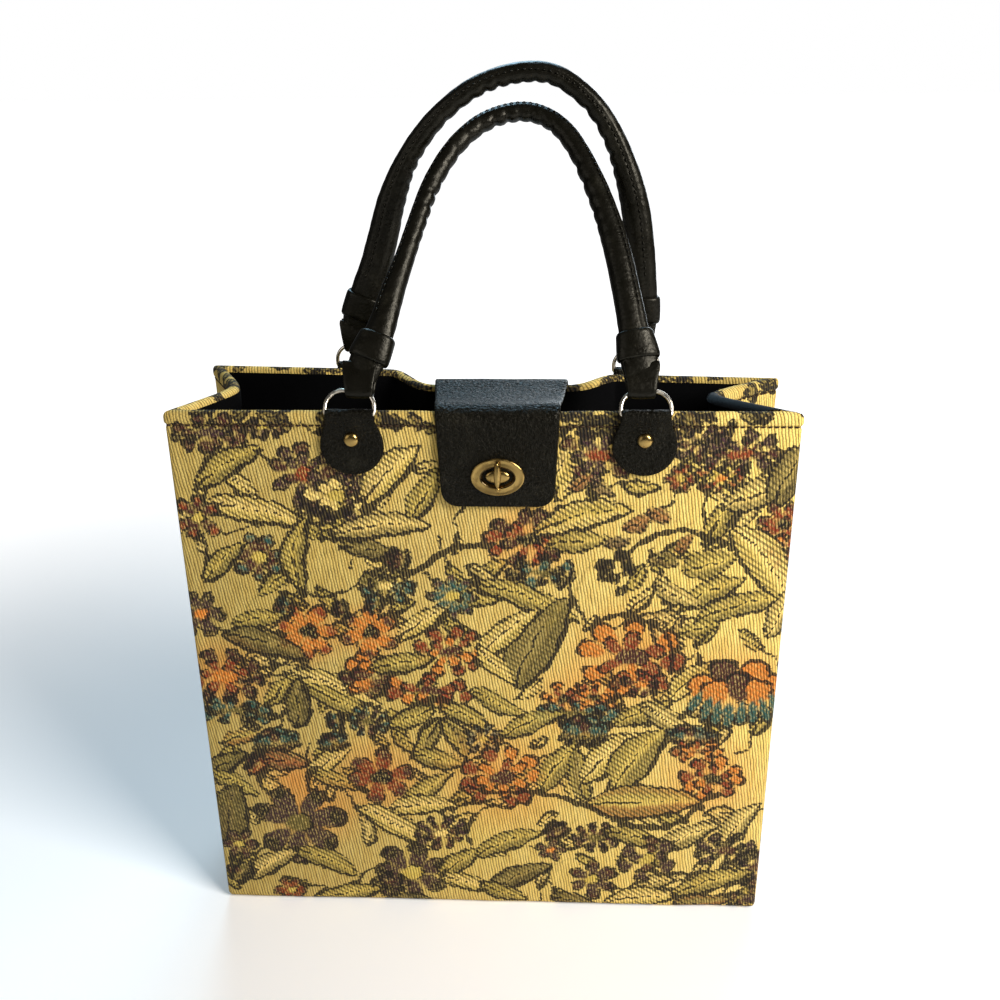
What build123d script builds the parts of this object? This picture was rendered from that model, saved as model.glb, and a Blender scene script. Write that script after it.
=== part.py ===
from build123d import *
from math import asin, cos, degrees, hypot, pi, radians, sin, sqrt
import os

# Tapestry tote bag, standing open with its flap closed.
# Frame: +Z up, +X to the right seen from the front, front at -Y, origin under the middle of the base.

# Bag body
bag_width = 330.0
bag_height = 322.0
gusset_width = 102.0
left_fold = 22.5
right_fold = 39.0
cloth = 2.0
board = 1.5
base_board_thickness = 2.5
lining_cloth = 0.8
lining_room = 1.6
hem_height = 7.0
hem_round_share = 0.75
board_inset = 18.0
board_room = 0.3

# Leather flap
hardware_x = 9.0
flap_rim_depth = 52.0
flap_back_width = 72.0
flap_front_width = 62.0
flap_tip_width = 57.0
flap_drop = 50.0
flap_tail = 38.0
flap_leather = 2.0
flap_back_bend = 1.8
flap_front_bend = 4.0
flap_corner = 9.0
flap_room = 0.3
draw_room = 2.0
draw_reach = 26.0

# Turn lock
lock_drop = 33.7
lock_width = 28.0
lock_height = 20.5
lock_plate_thickness = 1.6
lock_plate_edge = 0.5
lock_back_thickness = 0.8
lock_border = 1.2
lock_hole_width = 16.4
lock_hole_height = 10.2
lock_flange = 1.0
lock_boss_width = 14.2
lock_boss_height = 7.6
lock_boss_stand = 0.6
lock_play = 0.2
knob_length = 14.6
knob_width = 3.8
knob_height = 4.0
knob_pin = 3.6
knob_room = 0.6
prong_width = 3.0
prong_thickness = 1.0
prong_spacing = 17.5
washer_thickness = 1.2

# Tabs and rivets
tab_leather = 1.5
tab_room = 0.2
tab_top_share = 0.84
tab_round = 15.6
tab_round_drop = 17.5
tab_rivet_drop = 13.5
rivet_diameter = 8.0
rivet_dome = 2.2
dome_shares = (0, 0.45, 0.75, 0.93)
rivet_post = 3.0
rivet_back_thickness = 1.1
rivet_room = 0.1
front_spacing = 150.6
back_spacing = 161.6
back_hardware_x = 4.0

# D-rings
ring_wire = 2.5
ring_width = 27.5
ring_height = 15.0
ring_foot_round = 1.8
ring_crown_round = 9.0
ring_bar_drop = 0.5
ring_play = 0.3

# Handles
loop_width_share = 0.76
loop_leather = 1.8
loop_rise = 8.0
loop_neck = 6.5
neck_width = 15.6
neck_thickness = 10.0
tube = 10.6
core = 6.4
sleeve_length = 15.0
sleeve_leather = 1.6
sleeve_room = 0.2
gather_pitch = 9.0
gather_depth = 1.3
front_lean = 32.0
front_top = 162.0
front_bend = 41.0
front_shift = 9.0
back_lean = 1.0
back_top = 158.0
back_bend = 60.0
back_shift = 11.0

# Facets of round pieces
oval_sides = 28
round_sides = 24
roll_sides = 12
wire_sides = 8
foot_steps = 3
crown_steps = 5

# Worked out from the sizes above
half_width = bag_width / 2
half_gusset = gusset_width / 2
front_y = -half_gusset
wall = cloth + board
hem_round = cloth * hem_round_share
left_rim_depth = 2 * sqrt(half_gusset**2 - left_fold**2)
right_rim_depth = 2 * sqrt(half_gusset**2 - right_fold**2)
hem_floor = bag_height - hem_height
floor_top = cloth + base_board_thickness
board_top = bag_height - cloth
board_half = half_width - board_inset
draw_half = flap_back_width / 2 + draw_room
probe = draw_reach / 100
tab_top_width = ring_width * tab_top_share
loop_width = ring_width * loop_width_share
tab_fold = ring_wire / 2 + ring_play + tab_leather + tab_room
loop_top = ring_height + loop_rise
loop_half = ring_wire / 2 + ring_play + loop_leather
sleeve_rooms = (sleeve_room, sleeve_room + sleeve_leather)
skew = Vector(bag_width, right_rim_depth - left_rim_depth).normalized()


def flat(x, y):
    return Vector(x, y)


def rim_y(x):
    """Outer face of the back panel at the rim: a skewed line, drawn forward behind the flap."""
    along = (x + half_width) / bag_width
    own = left_rim_depth + (right_rim_depth - left_rim_depth) * along
    aside = max(abs(x - hardware_x) - draw_half, 0) / draw_reach
    drawn = (1 + cos(pi * min(aside, 1))) / 2
    return front_y + own + (flap_rim_depth - own) * drawn


def back_y(x, z):
    """Outer face of the back panel, which runs straight from the base to the rim."""
    return half_gusset + (rim_y(x) - half_gusset) * z / bag_height


def shifted(a, b, distance):
    """The line from a to b, moved to its left, as a point and a direction."""
    along = (b - a).normalized()
    return a + Vector(-along.Y, along.X) * distance, along


def crossing(first, second):
    (p, d), (q, e) = first, second
    return p + d * ((q - p).cross(e).Z / d.cross(e).Z)


def back_stations():
    """Places across the back panel, from right to left, closer together where the rim curves."""
    bend_shares = (1.0, 0.83, 0.67, 0.5, 0.33, 0.17, 0.0)
    bend_right = [hardware_x + draw_half + draw_reach * share for share in bend_shares]
    bend_left = [hardware_x - draw_half - draw_reach * share for share in reversed(bend_shares)]
    return [board_half, *bend_right, *bend_left, -board_half]


def base_outline(front, gusset, back):
    """Corners of the body at the floor, each face set in by its own distance."""
    side = half_width - gusset
    depths = [front_y + front, 0, half_gusset - back]
    right = [flat(side, y) for y in depths]
    left = [flat(-side, y) for y in reversed(depths)]
    return right, [flat(x, half_gusset - back) for x in back_stations()], left


def rim_outline(front, gusset, back):
    """The same corners at the rim, where the gussets are creased inwards and the back is drawn forward."""
    fl, fr = flat(-half_width, front_y), flat(half_width, front_y)
    br, bl = flat(half_width, rim_y(half_width)), flat(-half_width, rim_y(-half_width))
    mr = flat(half_width - right_fold, (fr.Y + br.Y) / 2)
    ml = flat(-half_width + left_fold, (fl.Y + bl.Y) / 2)
    stations = back_stations()
    near_right = flat(stations[0], rim_y(stations[0]))
    near_left = flat(stations[-1], rim_y(stations[-1]))
    front_line = shifted(fl, fr, front)
    right_lines = shifted(fr, mr, gusset), shifted(mr, br, gusset)
    left_lines = shifted(bl, ml, gusset), shifted(ml, fl, gusset)
    middle = []
    for x in stations:
        slope = (rim_y(x + probe) - rim_y(x - probe)) / (2 * probe)
        middle.append(flat(x, rim_y(x) - back * hypot(1, slope)))
    right = [
        crossing(front_line, right_lines[0]),
        crossing(*right_lines),
        crossing(right_lines[1], shifted(br, near_right, back)),
    ]
    left = [
        crossing(shifted(near_left, bl, back), left_lines[0]),
        crossing(*left_lines),
        crossing(left_lines[1], front_line),
    ]
    return right, middle, left


def outline(z, distances):
    """Right gusset, back and left gusset points at height z, on straight lines from the base to the rim."""
    rise = z / bag_height
    both = zip(base_outline(*distances), rim_outline(*distances))
    return [[low + (high - low) * rise for low, high in zip(*pair)] for pair in both]


def lifted(points, z):
    return [Vector(p.X, p.Y, z) for p in points]


def wall_points(side, z, distances):
    right, middle, left = outline(z, distances)
    runs = {
        "front": [left[2], right[0]],
        "right": right,
        "back": [right[2], *middle, left[0]],
        "left": left,
        "front_board": [flat(x, front_y + distances[0]) for x in (-board_half, board_half)],
        "back_board": middle,
    }
    return lifted(runs[side], z)


def creased(lower, upper):
    """Two triangles a step between two rows of points, their creases rising towards the middle of the run."""
    faces = []
    steps = len(lower) - 1
    for i in range(steps):
        a, b, c, d = lower[i], lower[i + 1], upper[i + 1], upper[i]
        pair = [(a, b, c), (a, c, d)] if 2 * i < steps else [(a, b, d), (b, c, d)]
        faces += [Face(Wire.make_polygon(corners)) for corners in pair]
    return faces


def strip(side, levels):
    """A wall through sections, each level a height, its outer distances and its inner distances."""
    outer = [wall_points(side, z, distances) for z, distances, _ in levels]
    inner = [wall_points(side, z, distances) for z, _, distances in levels]
    faces = [Face(Wire.make_polygon(outer[end] + inner[end][::-1])) for end in (0, -1)]
    for i in range(len(levels) - 1):
        faces += creased(outer[i], outer[i + 1]) + creased(inner[i], inner[i + 1])
        for end in (0, -1):
            faces += creased([outer[i][end], inner[i][end]], [outer[i + 1][end], inner[i + 1][end]])
    return Solid(Shell(faces)).clean()


def body_block(low, high, distances):
    """The whole outline as a block between two heights."""
    faces = [Face(Wire.make_polygon(lifted(sum(outline(z, distances), []), z))) for z in (low, high)]
    for side in ("front", "right", "back", "left"):
        faces += creased(wall_points(side, low, distances), wall_points(side, high, distances))
    return Solid(Shell(faces)).clean()


def evenly(distance):
    return (distance, distance, distance)


def tapestry(side):
    """One wall of tapestry with its turned hem, whose top is rounded in two steps."""
    deep = (wall + cloth, 2 * cloth, wall + cloth)
    half_step = hem_round * (1 - cos(radians(45)))
    rounds = [(bag_height - hem_round, 0), (bag_height - half_step, half_step), (bag_height, hem_round)]
    skin = [(z, evenly(0), evenly(cloth)) for z in (cloth, floor_top, hem_floor)]
    hem = [(z, evenly(0), deep) for z in (hem_floor, board_top)]
    hem += [(z, evenly(inset), tuple(d - inset for d in deep)) for z, inset in rounds]
    return strip(side, skin), strip(side, hem)


def stiffener(side):
    """The board behind a panel, from the floor up into its hem."""
    levels = [(z, evenly(cloth), evenly(wall)) for z in (floor_top, hem_floor, board_top)]
    return strip(f"{side}_board", levels)


def grown(width, height, room):
    """An oval made larger by a room all round."""
    turns = [2 * pi * i / oval_sides for i in range(oval_sides)]
    points = [((width / 2 + room) * cos(t), (height / 2 + room) * sin(t)) for t in turns]
    return make_face(Polyline(*points, close=True))


def at(plane, x, y, z=0):
    """The plane moved along its own axes."""
    return Plane(plane.location * Pos(x, y, z))


def between(plane, sketch, low, high):
    """A sketch on a plane, raised from one distance to another along its normal."""
    return extrude(plane.offset(low) * sketch, high - low)


# Places of the hardware. Each plane has x along the rim, y up the panel and z out of it.
front_face = Plane((hardware_x, front_y, bag_height), x_dir=(1, 0, 0), z_dir=(0, -1, 0))
lock_face = at(front_face, 0, -lock_drop)


def panel_plane(x):
    """The back panel's outer face at the rim, x across, on the facet that ends at the board's side."""
    top = Vector(x, back_y(x, bag_height), bag_height)
    side = board_half if x > back_hardware_x else -board_half
    foot = Vector(side, back_y(side, floor_top), floor_top)
    across = Vector(-skew.X, -skew.Y)
    return Plane(top, x_dir=across, z_dir=across.cross(top - foot))


def back_places():
    reach = back_spacing / 2 * skew.X
    places = {"back_right": back_hardware_x + reach, "back_left": back_hardware_x - reach}
    return {name: panel_plane(x) for name, x in places.items()}


tab_planes = {
    "front_left": at(front_face, -front_spacing / 2, 0),
    "front_right": at(front_face, front_spacing / 2, 0),
    **back_places(),
}


post_hole = RegularPolygon(rivet_post / 2 + rivet_room, roll_sides)


def tab(plane):
    """A leather strip folded round a ring's bar, both layers riveted to the panel."""
    bottom = Pos(0, -tab_round_drop) * RegularPolygon(tab_round, round_sides)
    top_edge = Line((-tab_top_width / 2, -ring_bar_drop), (tab_top_width / 2, -ring_bar_drop))
    shape = make_hull(ShapeList([*bottom.edges(), top_edge.edge()]))
    layers = between(plane, shape, tab_room, 2 * tab_leather)
    bar = at(plane, 0, -ring_bar_drop, tab_fold) * Rot(0, 90, 0)
    bar_room = ring_wire / 2 + ring_play
    fold = extrude(bar * RegularPolygon(bar_room + tab_leather, round_sides), tab_top_width / 2, both=True)
    hole = extrude(bar * RegularPolygon(bar_room, roll_sides, major_radius=False), ring_width / 2, both=True)
    post = between(at(plane, 0, -tab_rivet_drop), post_hole, 0, 2 * tab_leather)
    return layers + fold - hole - post


def rivet_hole(plane):
    return between(at(plane, 0, -tab_rivet_drop), post_hole, -2 * cloth, cloth)


def rivet_seat(plane):
    seat = RegularPolygon(rivet_diameter / 2 + board_room, round_sides)
    return between(at(plane, 0, -tab_rivet_drop), seat, -wall - board, -cloth / 2)


def rivet_cap(plane):
    """A domed cap on the tab with its post down to the back cap."""
    radius = rivet_diameter / 2
    place = at(plane, 0, -tab_rivet_drop, 2 * tab_leather)
    dome = None
    for share, next_share in zip(dome_shares, dome_shares[1:]):
        low = RegularPolygon(radius * sqrt(1 - share**2), roll_sides)
        high = RegularPolygon(radius * sqrt(1 - next_share**2), roll_sides)
        slice_faces = [place.offset(rivet_dome * share) * low, place.offset(rivet_dome * next_share) * high]
        piece = loft(slice_faces, ruled=True)
        dome = piece if dome is None else dome + piece
    post_length = 2 * tab_leather + cloth + rivet_room
    return dome + between(place, RegularPolygon(rivet_post / 2, roll_sides), -post_length, 0)


def rivet_back(plane):
    place = at(plane, 0, -tab_rivet_drop, -cloth - rivet_room)
    return between(place, RegularPolygon(rivet_diameter / 2, roll_sides), -rivet_back_thickness, 0)


def flap():
    """Leather from the back panel over both rims and down the front, tapering to a rounded tip."""
    gap = flap_room
    low = bag_height - flap_tail
    rest = front_y - lock_flange - lock_play - lock_back_thickness
    inner = [
        flat(back_y(hardware_x, low), low),
        flat(back_y(hardware_x, bag_height + gap), bag_height + gap),
        flat(rest, bag_height + gap),
        flat(rest, bag_height - flap_drop),
    ]
    runs = [shifted(a, b, -flap_leather) for a, b in zip(inner, inner[1:])]
    outer = [
        runs[0][0],
        crossing(runs[0], runs[1]),
        crossing(runs[1], runs[2]),
        flat(rest - flap_leather, bag_height - flap_drop),
    ]
    bends = [flap_back_bend, flap_front_bend]
    outer_bends = [bend + flap_leather for bend in reversed(bends)]
    in_line = FilletPolyline(*[(p.X, p.Y) for p in inner], radius=bends)
    out_line = FilletPolyline(*[(p.X, p.Y) for p in reversed(outer)], radius=outer_bends)
    ends = [Line(in_line @ 1, out_line @ 0), Line(out_line @ 1, in_line @ 0)]
    section = make_face([*in_line.edges(), ends[0].edge(), *out_line.edges(), ends[1].edge()])
    side_plane = Plane((hardware_x - flap_back_width, 0, 0), x_dir=(0, 1, 0), z_dir=(1, 0, 0))
    sheet = extrude(side_plane * section, 2 * flap_back_width)

    far = gusset_width
    back_half, front_half, tip_half = flap_back_width / 2, flap_front_width / 2, flap_tip_width / 2
    taper = [(-front_half, -far), (front_half, -far), (front_half, front_y)]
    taper += [(back_half, front_y + flap_rim_depth), (back_half, far), (-back_half, far)]
    taper += [(-back_half, front_y + flap_rim_depth), (-front_half, front_y)]
    plan = Pos(hardware_x, 0, 0) * make_face(Polyline(*taper, close=True))
    sheet &= extrude(plan, 2 * bag_height)

    fall = [(front_half, 0), (tip_half, -flap_drop), (-tip_half, -flap_drop), (-front_half, 0)]
    tongue = make_face(Polyline(*fall, close=True))
    tongue = fillet(tongue.vertices().sort_by(Axis.Y)[:2], flap_corner)
    above = Pos(0, flap_drop / 2) * Rectangle(2 * flap_back_width, flap_drop)
    behind = between(front_face, Rectangle(2 * flap_back_width, 4 * flap_drop), -2 * gusset_width, 0)
    sheet &= behind + between(front_face, tongue + above, 0, gusset_width)
    return sheet - between(lock_face, grown(lock_hole_width, lock_hole_height, 0), 0, gusset_width)


def prongs(low, high, room):
    shape = Rectangle(prong_thickness + 2 * room, prong_width + 2 * room)
    both = [between(at(lock_face, side * prong_spacing / 2, 0), shape, low, high) for side in (-1, 1)]
    return both[0] + both[1]


def lock():
    """The turn lock's five pieces, from the washer inside the panel out to the knob."""
    back_plate_top = lock_flange + lock_play + lock_back_thickness
    plate_low = back_plate_top + flap_leather
    plate_top = plate_low + lock_plate_thickness
    boss_top = plate_top + lock_boss_stand
    hole = grown(lock_hole_width, lock_hole_height, 0)
    rim = grown(lock_width, lock_height, 0)
    small = grown(lock_width, lock_height, -lock_border)

    bevel = [
        lock_face.offset(plate_top - lock_plate_edge) * rim,
        lock_face.offset(plate_top) * grown(lock_width, lock_height, -lock_plate_edge),
    ]
    plate = between(lock_face, rim, plate_low, plate_top - lock_plate_edge) + loft(bevel, ruled=True)
    plate -= between(lock_face, hole, plate_low, plate_top)
    back_plate = between(lock_face, small - hole, lock_flange + lock_play, back_plate_top)
    bore = between(lock_face, Circle(knob_pin / 2 + lock_play), 0, boss_top)
    boss = between(lock_face, grown(lock_boss_width, lock_boss_height, 0), 0, boss_top)
    base = between(lock_face, small, 0, lock_flange) + boss - bore
    base += prongs(-cloth - washer_thickness, lock_flange / 2, 0)
    washer = between(lock_face, small, -cloth - washer_thickness, -cloth)
    washer -= prongs(-cloth - washer_thickness, -cloth, lock_play)

    blade_low = boss_top + knob_room
    blade_shape = SlotOverall(knob_length, knob_width, rotation=90)
    blade = between(lock_face, blade_shape, blade_low, blade_low + knob_height)
    blade = chamfer(blade.faces().sort_by(Axis.Y)[0].edges(), knob_width / 4)
    knob = blade + between(lock_face, Circle(knob_pin / 2), lock_play, blade_low)
    return {
        "lock_plate": plate,
        "lock_back_plate": back_plate,
        "lock_base": base,
        "lock_washer": washer,
        "lock_knob": knob,
    }


def roll_ring(place, along, width, thickness, pinch=0, sides=roll_sides):
    """Section of a roll across its run, its first corner inside the bend, where it may be pinched."""
    inside = Vector(along.Y, -along.X)
    points = []
    for i in range(sides):
        turn = 2 * pi * i / sides
        reach = (width / 2 - pinch * max(cos(turn), 0)) * cos(turn)
        points.append(place + inside * reach + Vector(0, 0, thickness / 2 * sin(turn)))
    return make_face(Polyline(*points, close=True))


def ring():
    """A D-ring of bent wire, its bar on the x axis and its crown up, made as two halves."""
    side = ring_width / 2
    foot = Vector(side - ring_foot_round, ring_foot_round)
    crown = Vector(side - ring_crown_round, ring_height - ring_crown_round)
    places = [(Vector(0, 0), Vector(1, 0))]
    bends = [(foot, ring_foot_round, -90, foot_steps), (crown, ring_crown_round, 0, crown_steps)]
    for centre, radius, start, steps in bends:
        for i in range(steps + 1):
            turn = radians(start + 90 * i / steps)
            places.append((centre + Vector(cos(turn), sin(turn)) * radius, Vector(-sin(turn), cos(turn))))
    places.append((Vector(0, ring_height), Vector(-1, 0)))
    half = loft([roll_ring(*place, ring_wire, ring_wire, sides=wire_sides) for place in places], ruled=True)
    return half + mirror(half, about=Plane.YZ)


def loop(x):
    """A handle's flattened end, folded round the crown of its ring."""
    wire_room = ring_wire / 2 + ring_play
    edge = loop_width / 2 - ring_width / 2 + ring_crown_round
    low = ring_height - ring_play - ring_crown_round + sqrt(ring_crown_round**2 - edge**2)
    band = Pos(0, (low + loop_top) / 2) * Rectangle(2 * loop_half, loop_top - low)
    band += Pos(0, low) * RegularPolygon(loop_half, round_sides)
    slot = Pos(0, low) * RegularPolygon(wire_room, roll_sides, major_radius=False)
    slot += Pos(0, ring_height) * RegularPolygon(wire_room, roll_sides, major_radius=False)
    slot += Pos(0, (low + ring_height) / 2) * Rectangle(2 * wire_room, ring_height - low)
    across = Plane((x - loop_width / 2, 0, 0), x_dir=(0, 0, -1), z_dir=(1, 0, 0))
    return extrude(across * (band - slot), loop_width)


def handle(spacing, top, bend, shift):
    """Leather, cord and the two sleeves of one handle in its own plane, hinge on the x axis."""
    up = Vector(0, 1)
    centre = Vector(shift, top - bend)
    feet = [Vector(side * spacing / 2, loop_top + loop_neck) for side in (-1, 1)]
    runs = []
    for side, foot in zip((1, -1), feet):
        away = centre - foot
        lead = away.normalized().rotate(Axis.Z, side * degrees(asin(bend / away.length)))
        runs.append(lead * side)
    turns = [up.get_signed_angle(run.rotate(Axis.Z, 90), Vector(0, 0, 1)) for run in runs]

    leather = [
        roll_ring(feet[0] - up * loop_neck, up, loop_width, 2 * loop_half),
        roll_ring(feet[0], runs[0], neck_width, neck_thickness),
    ]
    cord = [roll_ring(feet[0] + runs[0] * sleeve_length / 2, runs[0], core, core)]
    span = turns[1] - turns[0]
    gathers = int(radians(abs(span)) * (bend - tube / 2) / gather_pitch)
    for i in range(2 * gathers + 1):
        outward = up.rotate(Axis.Z, turns[0] + span * i / (2 * gathers))
        along = outward.rotate(Axis.Z, -90)
        spot = centre + outward * bend
        pinch = gather_depth if i % 2 else 0
        leather.append(roll_ring(spot, along, tube, tube, pinch))
        if i % 2 == 0:
            cord.append(roll_ring(spot, along, core, core))
    leather.append(roll_ring(feet[1], runs[1], neck_width, neck_thickness))
    leather.append(roll_ring(feet[1] - up * loop_neck, -up, loop_width, 2 * loop_half))
    cord.append(roll_ring(feet[1] - runs[1] * sleeve_length / 2, runs[1], core, core))

    cord = loft(cord, ruled=True)
    leather = loft(leather, ruled=True) - cord + loop(feet[0].X) + loop(feet[1].X)
    sleeves = []
    for foot, run, side in zip(feet, runs, (1, -1)):
        sizes = [(neck_width + 2 * room, neck_thickness + 2 * room) for room in sleeve_rooms]
        hole, rim = [roll_ring(foot, run, *size) for size in sizes]
        sleeves.append(extrude(rim - hole, sleeve_length, dir=run * side))
    return leather, cord, sleeves


def handle_plane(origin, along, lean):
    """Plane of a handle that leans inwards by an angle, x along its hinge and y up."""
    out = along.cross(Vector(0, 0, 1))
    tilt = radians(lean)
    return Plane(origin, x_dir=along, z_dir=out * cos(tilt) + Vector(0, 0, 1) * sin(tilt))


def hinge_middle(first, second):
    left, right = [at(tab_planes[n], 0, -ring_bar_drop, tab_fold).origin for n in (first, second)]
    return (left + right) / 2, right - left


parts = {}
for side in ("left", "right"):
    skin, hem = tapestry(side)
    parts[f"{side}_gusset"] = skin + hem
for side in ("front", "back"):
    skin, hem = tapestry(side)
    parts[f"{side}_stiffener"] = stiffener(side)
    parts[f"{side}_panel"] = skin + hem - parts[f"{side}_stiffener"]

for name, plane in tab_planes.items():
    side = name.split("_")[0]
    parts[f"{name}_tab"] = tab(plane)
    parts[f"{side}_panel"] -= rivet_hole(plane)
    parts[f"{side}_stiffener"] -= rivet_seat(plane)
parts["rivet_caps"] = Compound(children=[rivet_cap(p) for p in tab_planes.values()])
parts["rivet_backs"] = Compound(children=[rivet_back(p) for p in tab_planes.values()])

parts["base_panel"] = extrude(Rectangle(bag_width, gusset_width), cloth)
board_edge = evenly(cloth + board_room)
parts["base_board"] = body_block(cloth, floor_top, board_edge)
lining_out = (wall, cloth + lining_room, wall)
lining_in = tuple(d + lining_cloth for d in lining_out)
lining_hollow = body_block(floor_top + lining_cloth, bag_height, lining_in)
parts["lining"] = body_block(floor_top, hem_floor, lining_out) - lining_hollow

parts["closure_flap"] = flap()
parts.update(lock())
parts["front_panel"] -= prongs(-2 * cloth, cloth, lock_play)
washer_seat = grown(lock_width, lock_height, board_room - lock_border)
parts["front_stiffener"] -= between(lock_face, washer_seat, -wall - board, -cloth / 2)

handle_sizes = {
    "front": (front_top, front_bend, front_shift, front_lean, ("front_left", "front_right")),
    "back": (back_top, back_bend, -back_shift, back_lean, ("back_right", "back_left")),
}
for side, (top, bend, shift, lean, tabs) in handle_sizes.items():
    origin, along = hinge_middle(*tabs)
    plane = handle_plane(origin, along.normalized(), lean)
    leather, cord, sleeves = handle(along.length, top, bend, shift)
    parts[f"{side}_handle"] = plane * leather
    parts[f"{side}_handle_core"] = plane * cord
    for name, sleeve in zip(tabs, sleeves):
        parts[f"{name}_sleeve"] = plane * sleeve
    rings = [plane * Pos(end * along.length / 2, 0) * ring() for end in (-1, 1)]
    parts[f"{side}_rings"] = Compound(children=rings)
    print(side, "hinge", tuple(round(v, 3) for v in origin), tuple(round(v, 5) for v in along.normalized()))

os.makedirs("parts", exist_ok=True)
for node, solid in parts.items():
    export_step(solid, f"parts/{node}.step")
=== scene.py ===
"""Dresses the tapestry tote bag: cloth, lining, leather, fittings and a plain studio."""

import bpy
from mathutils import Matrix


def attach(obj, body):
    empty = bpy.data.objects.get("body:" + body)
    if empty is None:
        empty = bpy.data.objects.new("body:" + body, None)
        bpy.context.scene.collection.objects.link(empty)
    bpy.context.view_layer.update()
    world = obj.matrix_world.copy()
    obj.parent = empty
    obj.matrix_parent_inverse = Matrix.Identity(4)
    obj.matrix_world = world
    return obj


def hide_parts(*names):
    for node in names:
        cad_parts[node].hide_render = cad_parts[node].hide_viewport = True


bl_info = {
    "name": "Tapestry tote bag",
    "version": (1, 0, 0),
    "blender": (4, 5, 0),
    "location": "3D View > Sidebar > Tote bag",
    "description": "Builds the cloth, leather and fittings of a standing tapestry tote bag",
    "category": "Add Mesh",
}

import math

import bpy
import numpy as np
from bpy.props import FloatProperty, FloatVectorProperty, IntProperty, PointerProperty
from mathutils import Matrix, Vector, noise

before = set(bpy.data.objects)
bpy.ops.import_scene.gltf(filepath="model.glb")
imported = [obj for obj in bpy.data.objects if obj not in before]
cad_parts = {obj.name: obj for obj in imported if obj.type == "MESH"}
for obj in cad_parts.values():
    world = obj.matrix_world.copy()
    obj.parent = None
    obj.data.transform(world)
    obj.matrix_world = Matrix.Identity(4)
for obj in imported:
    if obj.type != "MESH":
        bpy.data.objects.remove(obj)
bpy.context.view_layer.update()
MM = 0.001
UPWARDS = np.array([0.0, 0.0, 1.0])
BOTH_SIDES = (("front", True), ("back", False))


def length(label, note, size):
    return FloatProperty(name=label, description=note, default=size, min=0.0,
                         unit="LENGTH", subtype="DISTANCE")


def tint(label, note, colour):
    return FloatVectorProperty(name=label, description=note, default=colour,
                               min=0.0, max=1.0, subtype="COLOR")


class ToteBody(bpy.types.PropertyGroup):
    """Sizes of the standing bag."""

    width: length("Width", "Across the front panel", 0.330)
    height: length("Height", "From the floor to the rim", 0.322)
    depth: length("Depth", "From front to back at the base", 0.102)
    left_back: length("Left back rim", "How far the rim's left corner stands behind the middle", 0.0405)
    right_back: length("Right back rim", "How far the rim's right corner stands behind the middle", 0.0147)
    left_fold: length("Left fold", "How far the left gusset folds in at the rim", 0.0225)
    right_fold: length("Right fold", "How far the right gusset folds in at the rim", 0.039)
    drawn_half: length("Drawn half width", "Half of the back rim that is held behind the flap", 0.038)
    drawn_reach: length("Drawn reach", "Over what width the back rim comes forward to the flap", 0.026)
    drawn_back: length("Drawn rim", "Where the back rim is held behind the flap", 0.001)
    middle: length("Middle", "How far right of the panel's middle the lock is centred", 0.009)
    base_round: length("Base round", "Radius of the edge round the base", 0.005)
    hem: length("Hem", "Height of the turned hem", 0.0075)
    hem_thick: length("Hem thickness", "Thickness of the rolled hem", 0.0058)
    cell: length("Cell", "Size of the cloth's mesh cells", 0.00125)


class ToteCloth(bpy.types.PropertyGroup):
    """Weave and yarns of the tapestry."""

    pitch: length("Rib pitch", "From one rib of the weave to the next", 0.0017)
    lean: FloatProperty(name="Rib lean", description="Sideways run of the ribs for a step up", default=0.15)
    cream: tint("Cream", "Ground yarn", (0.92, 0.665, 0.205))
    gold: tint("Gold", "Yarn of the bright leaves", (0.60, 0.44, 0.085))
    olive: tint("Olive", "Yarn of the green leaves", (0.145, 0.112, 0.028))
    dark: tint("Dark", "Yarn of the outlines", (0.011, 0.008, 0.006))
    rust: tint("Rust", "Yarn of the red flowers", (0.27, 0.042, 0.013))
    orange: tint("Orange", "Yarn of the bright flowers", (0.70, 0.22, 0.030))
    maroon: tint("Maroon", "Yarn of the dark red flowers", (0.070, 0.018, 0.016))
    plum: tint("Plum", "Yarn of the purple flowers", (0.055, 0.024, 0.028))
    teal: tint("Teal", "Yarn of the blue-green buds", (0.030, 0.100, 0.085))
    lining: tint("Lining", "Black satin inside", (0.0016, 0.0016, 0.0018))
    thread: tint("Thread", "Dark thread of the seams", (0.035, 0.022, 0.014))


class ToteLeather(bpy.types.PropertyGroup):
    """The flap, the tabs and the handles."""

    black: tint("Leather", "Black leather", (0.0034, 0.0030, 0.0018))
    # The paler colour serves both rubbed wear and painted sheen
    worn_and_sheen: tint("Worn leather and painted sheen", "Leather rubbed on the folds, also painted sheen on the grain", (0.020, 0.018, 0.012))
    flap_leather: length("Flap leather", "Thickness of the flap", 0.002)
    flap_back_width: length("Flap back width", "Width of the flap at the back rim", 0.072)
    flap_front_width: length("Flap front width", "Width of the flap at the front rim", 0.062)
    flap_tip_width: length("Flap tip width", "Width of the flap at its tip", 0.057)
    flap_drop: length("Flap drop", "How far the flap hangs down the front", 0.050)
    flap_tail: length("Flap tail", "How far the flap runs down the back", 0.038)
    flap_corner: length("Flap corner", "Radius of the flap's corners", 0.0075)
    tab_leather: length("Tab leather", "Thickness of both layers of a tab", 0.0032)
    tab_top: length("Tab top", "Width of a tab at the ring", 0.0231)
    tab_round: length("Tab round", "Radius of a tab's round end", 0.0156)
    tab_drop: length("Tab drop", "From the rim to the middle of a tab's round end", 0.0165)
    sleeve: length("Sleeve", "Thickness of the sleeves' leather", 0.0016)
    strap: length("Strap", "Thickness of the loops' leather", 0.0018)
    gather: length("Gather", "Depth of the gathers inside the bend", 0.0012)


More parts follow.
